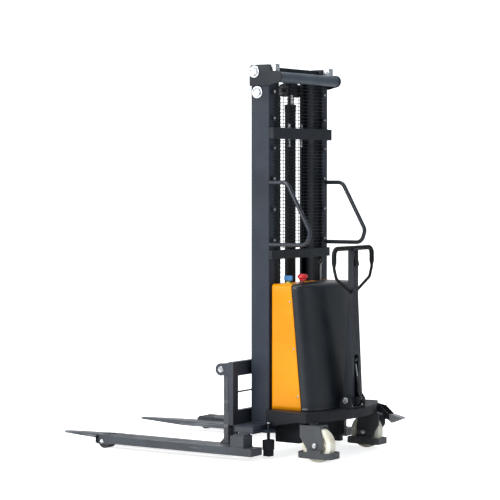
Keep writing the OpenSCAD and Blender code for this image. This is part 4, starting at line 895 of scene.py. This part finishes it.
def moulded_cover(columns, levels):
    """Half a flattened oval at each level, x behind the seam and y across, both raised to a power so
    that the sides stay near flat; over the top it shrinks to the middle of the seam and rises to a
    low crown."""
    turn = np.linspace(-pi / 2, pi / 2, columns)
    power = 2 / 2.9
    back = np.cos(turn) ** power
    back[[0, -1]] = 0
    across = np.sign(np.sin(turn)) * np.abs(np.sin(turn)) ** power
    round_r = 0.024
    rise = np.concatenate([[0, 0.006, 0.010, 0.014], np.linspace(0.02, cover_z - deck_z - round_r, levels)])
    lip = np.concatenate([[0.003, 0.003, 0.002, 0.0], np.zeros(levels)])
    rows = []
    for z, out in zip(rise, lip):
        rows.append((deck_z + z, out, 1.0, out))
    for a in np.linspace(0, pi / 2, 9)[1:]:
        rows.append((cover_z - round_r + round_r * sin(a), -round_r * (1 - cos(a)), 1.0, 0))
    for s in np.linspace(0, 1, 12)[1:]:
        rows.append((cover_z + CROWN * (1 - (1 - s) ** 2), -round_r, 1 - s, 0))
    grid = []
    for z, out, shrink, foot in rows:
        share = (min(z, cover_z) - deck_z) / (cover_z - deck_z)
        seam = seam_x(min(z, cover_z), 0.0006)
        depth = (BACK_LOW - SEAM_LOW) + ((BACK_TOP - SEAM_TOP) - (BACK_LOW - SEAM_LOW)) * share + out
        reach = cover_half + out
        bead = 0.0016 * np.exp(-((back * depth - 0.008) / 0.004) ** 2) * shrink
        x = seam - back * depth * shrink
        y = across * (reach * shrink + bead)
        grid.append(np.stack([x, y, z + 0 * x], -1))
    return np.stack(grid)


walled("rear_cover_moulded", moulded_cover(121, 36), black_abs, "rear_cover")
SCREW_HEIGHTS = (0.830, 0.582, 0.330)


def screw(centre, side):
    """A button-head screw: a low dome with a socket sunk in its middle."""
    r, a = 0.0058, np.linspace(0, pi / 2, 6)
    dome = [(0.002 + (r - 0.002) * cos(t), 0.0006 + 0.0022 * sin(t)) for t in a]
    return turned(centre, (0, side, 0), [(0, 0), (r, 0), *dome, (0.002, 0.0012), (0, 0.0012)], 20)


made("cover_screw_heads", [
    screw((seam_x(z) + 0.014, side * cover_half, z), side)
    for side in (-1, 1) for z in SCREW_HEIGHTS], steel, "truck", "cover_screws")

# ---- Controls on the covers ----
# A mushroom stop button, a key switch on a yellow plate, and a lift lever with a round knob that
# tilts in a slotted frame. The skins of the covers are not cut where these pass through them.
yellow = finish_of("yellow plastic", (0.80, 0.60, 0.06), 0.4)
relief(yellow, noise(yellow, 300, 2), 0.0001)
vary(yellow, "Roughness", noise(yellow, 40, 4), 0.32, 0.5)
key_low, key_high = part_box("switch_key")
eased("panel_fittings", 0.0008, case_plastic, other=(yellow, lambda centre: (
    abs(centre.x - (key_low.x + key_high.x) / 2) < 0.0305
    and abs(centre.y - (key_low.y + key_high.y) / 2) < 0.0245)))
red = finish_of("red plastic", (0.60, 0.012, 0.016), 0.22, Coat_Weight=0.4, Coat_Roughness=0.1)
vary(red, "Roughness", noise(red, 50, 5), 0.18, 0.34)
low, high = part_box("estop_button")
middle = (low + high) / 2
head_z = high.z - 0.055
made("stop_button_mushroom", [turned((middle.x, middle.y, 0), (0, 0, 1), [
    (0, low.z), (0.006, low.z), (0.006, head_z + 0.019), (0.016, head_z + 0.019), (0.0185, head_z + 0.020),
    (0.0192, head_z + 0.024), (0.021, head_z + 0.029), (0.0265, head_z + 0.033), (0.0278, head_z + 0.036),
    (0.0278, head_z + 0.041), (0.0262, head_z + 0.046), (0.0225, head_z + 0.0500), (0.016, head_z + 0.053),
    (0.008, head_z + 0.0546), (0, head_z + 0.055)], 56)], red, "estop_button", "estop_button")
blue = finish_of("blue plastic", (0.05, 0.24, 0.60), 0.3)
vary(blue, "Roughness", noise(blue, 60, 4), 0.22, 0.42)
eased("switch_key", 0.0015, blue, 3)
low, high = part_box("lift_lever")
middle = (low + high) / 2
knob_r, stem_r, pivot_z = 0.014, 0.0045, low.z + 0.009
a = np.linspace(-1.15, pi / 2, 16)
knob_z = high.z - knob_r
made("lift_lever_stem", [
    turned((middle.x, middle.y, 0), (0, 0, 1), [
        (0, pivot_z), (stem_r, pivot_z), (stem_r, knob_z - 0.020), (stem_r + 0.0012, knob_z - 0.019),
        (stem_r + 0.0012, knob_z - 0.013), (0, knob_z - 0.013)], 24),
    turned((middle.x, middle.y, pivot_z), (0, 1, 0), [
        (0.0041, -0.007), (0.008, -0.007), (0.009, -0.006), (0.009, 0.006), (0.008, 0.007),
        (0.0041, 0.007), (0.0041, -0.007)], 32)], steel, "lift_lever", "lift_lever")
ball = finish_of("black knob plastic", (0.012, 0.012, 0.013), 0.22)
vary(ball, "Roughness", noise(ball, 80, 4), 0.16, 0.32)
made("lift_lever_knob", [turned((middle.x, middle.y, knob_z), (0, 0, 1), [
    (0, -knob_r * 0.95), (0.0055, -knob_r * 0.95),
    *[(knob_r * cos(t), knob_r * sin(t)) for t in a[:-1]], (0, knob_r)], 36)],
    ball, "lift_lever", slot="handle_black")

# ---- Tiller foot ----
# A bolted foot with two ears holds the tiller's pivot pin and the lower pin of the gas spring.
eased("tiller_base", 0.0015, deck_paint)
eased("base_bolts", 0.0006, zinc)

# ---- Tiller arm, handle and trigger ----
# The arm is a folded box that swings on its pin. The handle is one bent rod whose top and sides are
# sleeved in a ribbed rubber grip, and a trigger hangs behind the arm at its top.
tiller_paint = powder_coat("tiller paint", (0.014, 0.018, 0.026), 0.40, shine=0.35)
eased("tiller_arm", 0.003, tiller_paint, 3)
rubber = finish_of("grip rubber", (0.004, 0.005, 0.0065), 0.58, Specular_IOR_Level=0.25)
vary(rubber, "Roughness", noise(rubber, 30, 5), 0.46, 0.66)
relief(rubber, noise(rubber, 800, 2), 0.0002)
handle_low, handle_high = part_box("tiller_handle")
GRIP_R, ROD_R = 0.0135, 0.0078
pivot_x = (handle_low.x + handle_high.x) / 2
grip_z, rim_y = handle_high.z - GRIP_R, handle_high.y - GRIP_R
JOIN_Y, JOIN_Z = 0.023, handle_high.z - 0.2485


def handle_route():
    """The loop from one side of the arm, out and up, across the top and back down to the other side."""
    half_loop = [(JOIN_Y, JOIN_Z), (0.176, handle_high.z - 0.172), (rim_y, handle_high.z - 0.118),
                 (rim_y, grip_z)]
    corners = half_loop + [(-y, z) for y, z in reversed(half_loop)]
    return bent([(pivot_x, y, z) for y, z in corners], 0.036, 12)


def spaced(route, step):
    """The same route with its points an even step apart."""
    length = np.concatenate([[0], np.cumsum(np.linalg.norm(np.diff(route, axis=0), axis=1))])
    at = np.linspace(0, length[-1], int(length[-1] / step))
    return np.stack([np.interp(at, length, route[:, k]) for k in range(3)], -1), at, length[-1]


loop, at, length = spaced(handle_route(), 0.0022)
GRIP_FROM = 0.232
sleeved = np.clip((np.minimum(at, length - at) - GRIP_FROM) / 0.03, 0, 1)
sleeved = sleeved * sleeved * (3 - 2 * sleeved)
on_side = (np.abs(loop[:, 1]) > rim_y - 0.004) & (sleeved > 0.98)
ribs = np.where(on_side, 0.0007 * np.maximum(np.cos(2 * pi * at / 0.0088), -0.2), 0)
thick = ROD_R + (GRIP_R - 0.0008 - ROD_R) * sleeved + ribs
made("tiller_handle_loop", [tube(loop, thick, (1, 0, 0), 26)], rubber, "tiller", "tiller_handle")
eased("tiller_trigger", 0.0012, rubber)

# ---- Gas spring ----
# A black tube on the foot's pin and a bright rod that slides in it. The rod stops short of a small
# socket on the arm's pin, which rides with the arm.
foot = in_frame(-0.387, 0, 0.310)
top_pin = in_frame(-0.355, 0, 0.515)
spring_axis = (top_pin - foot).normalized()
gas_black = finish_of("gloss black lacquer", (0.010, 0.010, 0.011), 0.2, Coat_Weight=0.3)
vary(gas_black, "Roughness", noise(gas_black, 40, 4), 0.15, 0.3)
made("gas_tube_drawn", [turned(foot, spring_axis, [
    (0, 0.008), (0.006, 0.008), (0.006, 0.014), (0.0095, 0.0165), (0.0098, 0.019), (0.0098, 0.110),
    (0.0092, 0.112), (0.0092, 0.1135), (0.0098, 0.115), (0.0096, 0.1172), (0.006, 0.118), (0.0042, 0.1176),
    (0.0042, 0.100)], 40),
    turned(foot, (0, 1, 0), [(0.0051, -0.008), (0.0095, -0.008), (0.0108, -0.007), (0.0108, 0.007),
                                 (0.0095, 0.008), (0.0051, 0.008), (0.0051, -0.008)], 36)],
    gas_black, "gas_tube", "gas_spring_tube")
spring_len = (top_pin - foot).length
made("gas_rod_ground", [turned(foot, spring_axis, [
    (0, 0.092), (0.0036, 0.092), (0.004, 0.0925), (0.004, spring_len - 0.0245), (0.0036, spring_len - 0.024),
    (0, spring_len - 0.024)], 32)], chrome, "gas_rod", "gas_spring_rod")
made("gas_spring_socket", [
    turned(top_pin, -spring_axis, [(0, 0.006), (0.0065, 0.007), (0.007, 0.009), (0.0068, 0.011),
                                   (0.005, 0.0125), (0, 0.0128)], 28),
    turned(top_pin, (0, 1, 0), [(0.0051, -0.007), (0.009, -0.007), (0.010, -0.006), (0.010, 0.006),
                                    (0.009, 0.007), (0.0051, 0.007), (0.0051, -0.007)], 32)],
    gas_black, "tiller", slot="gas_black")
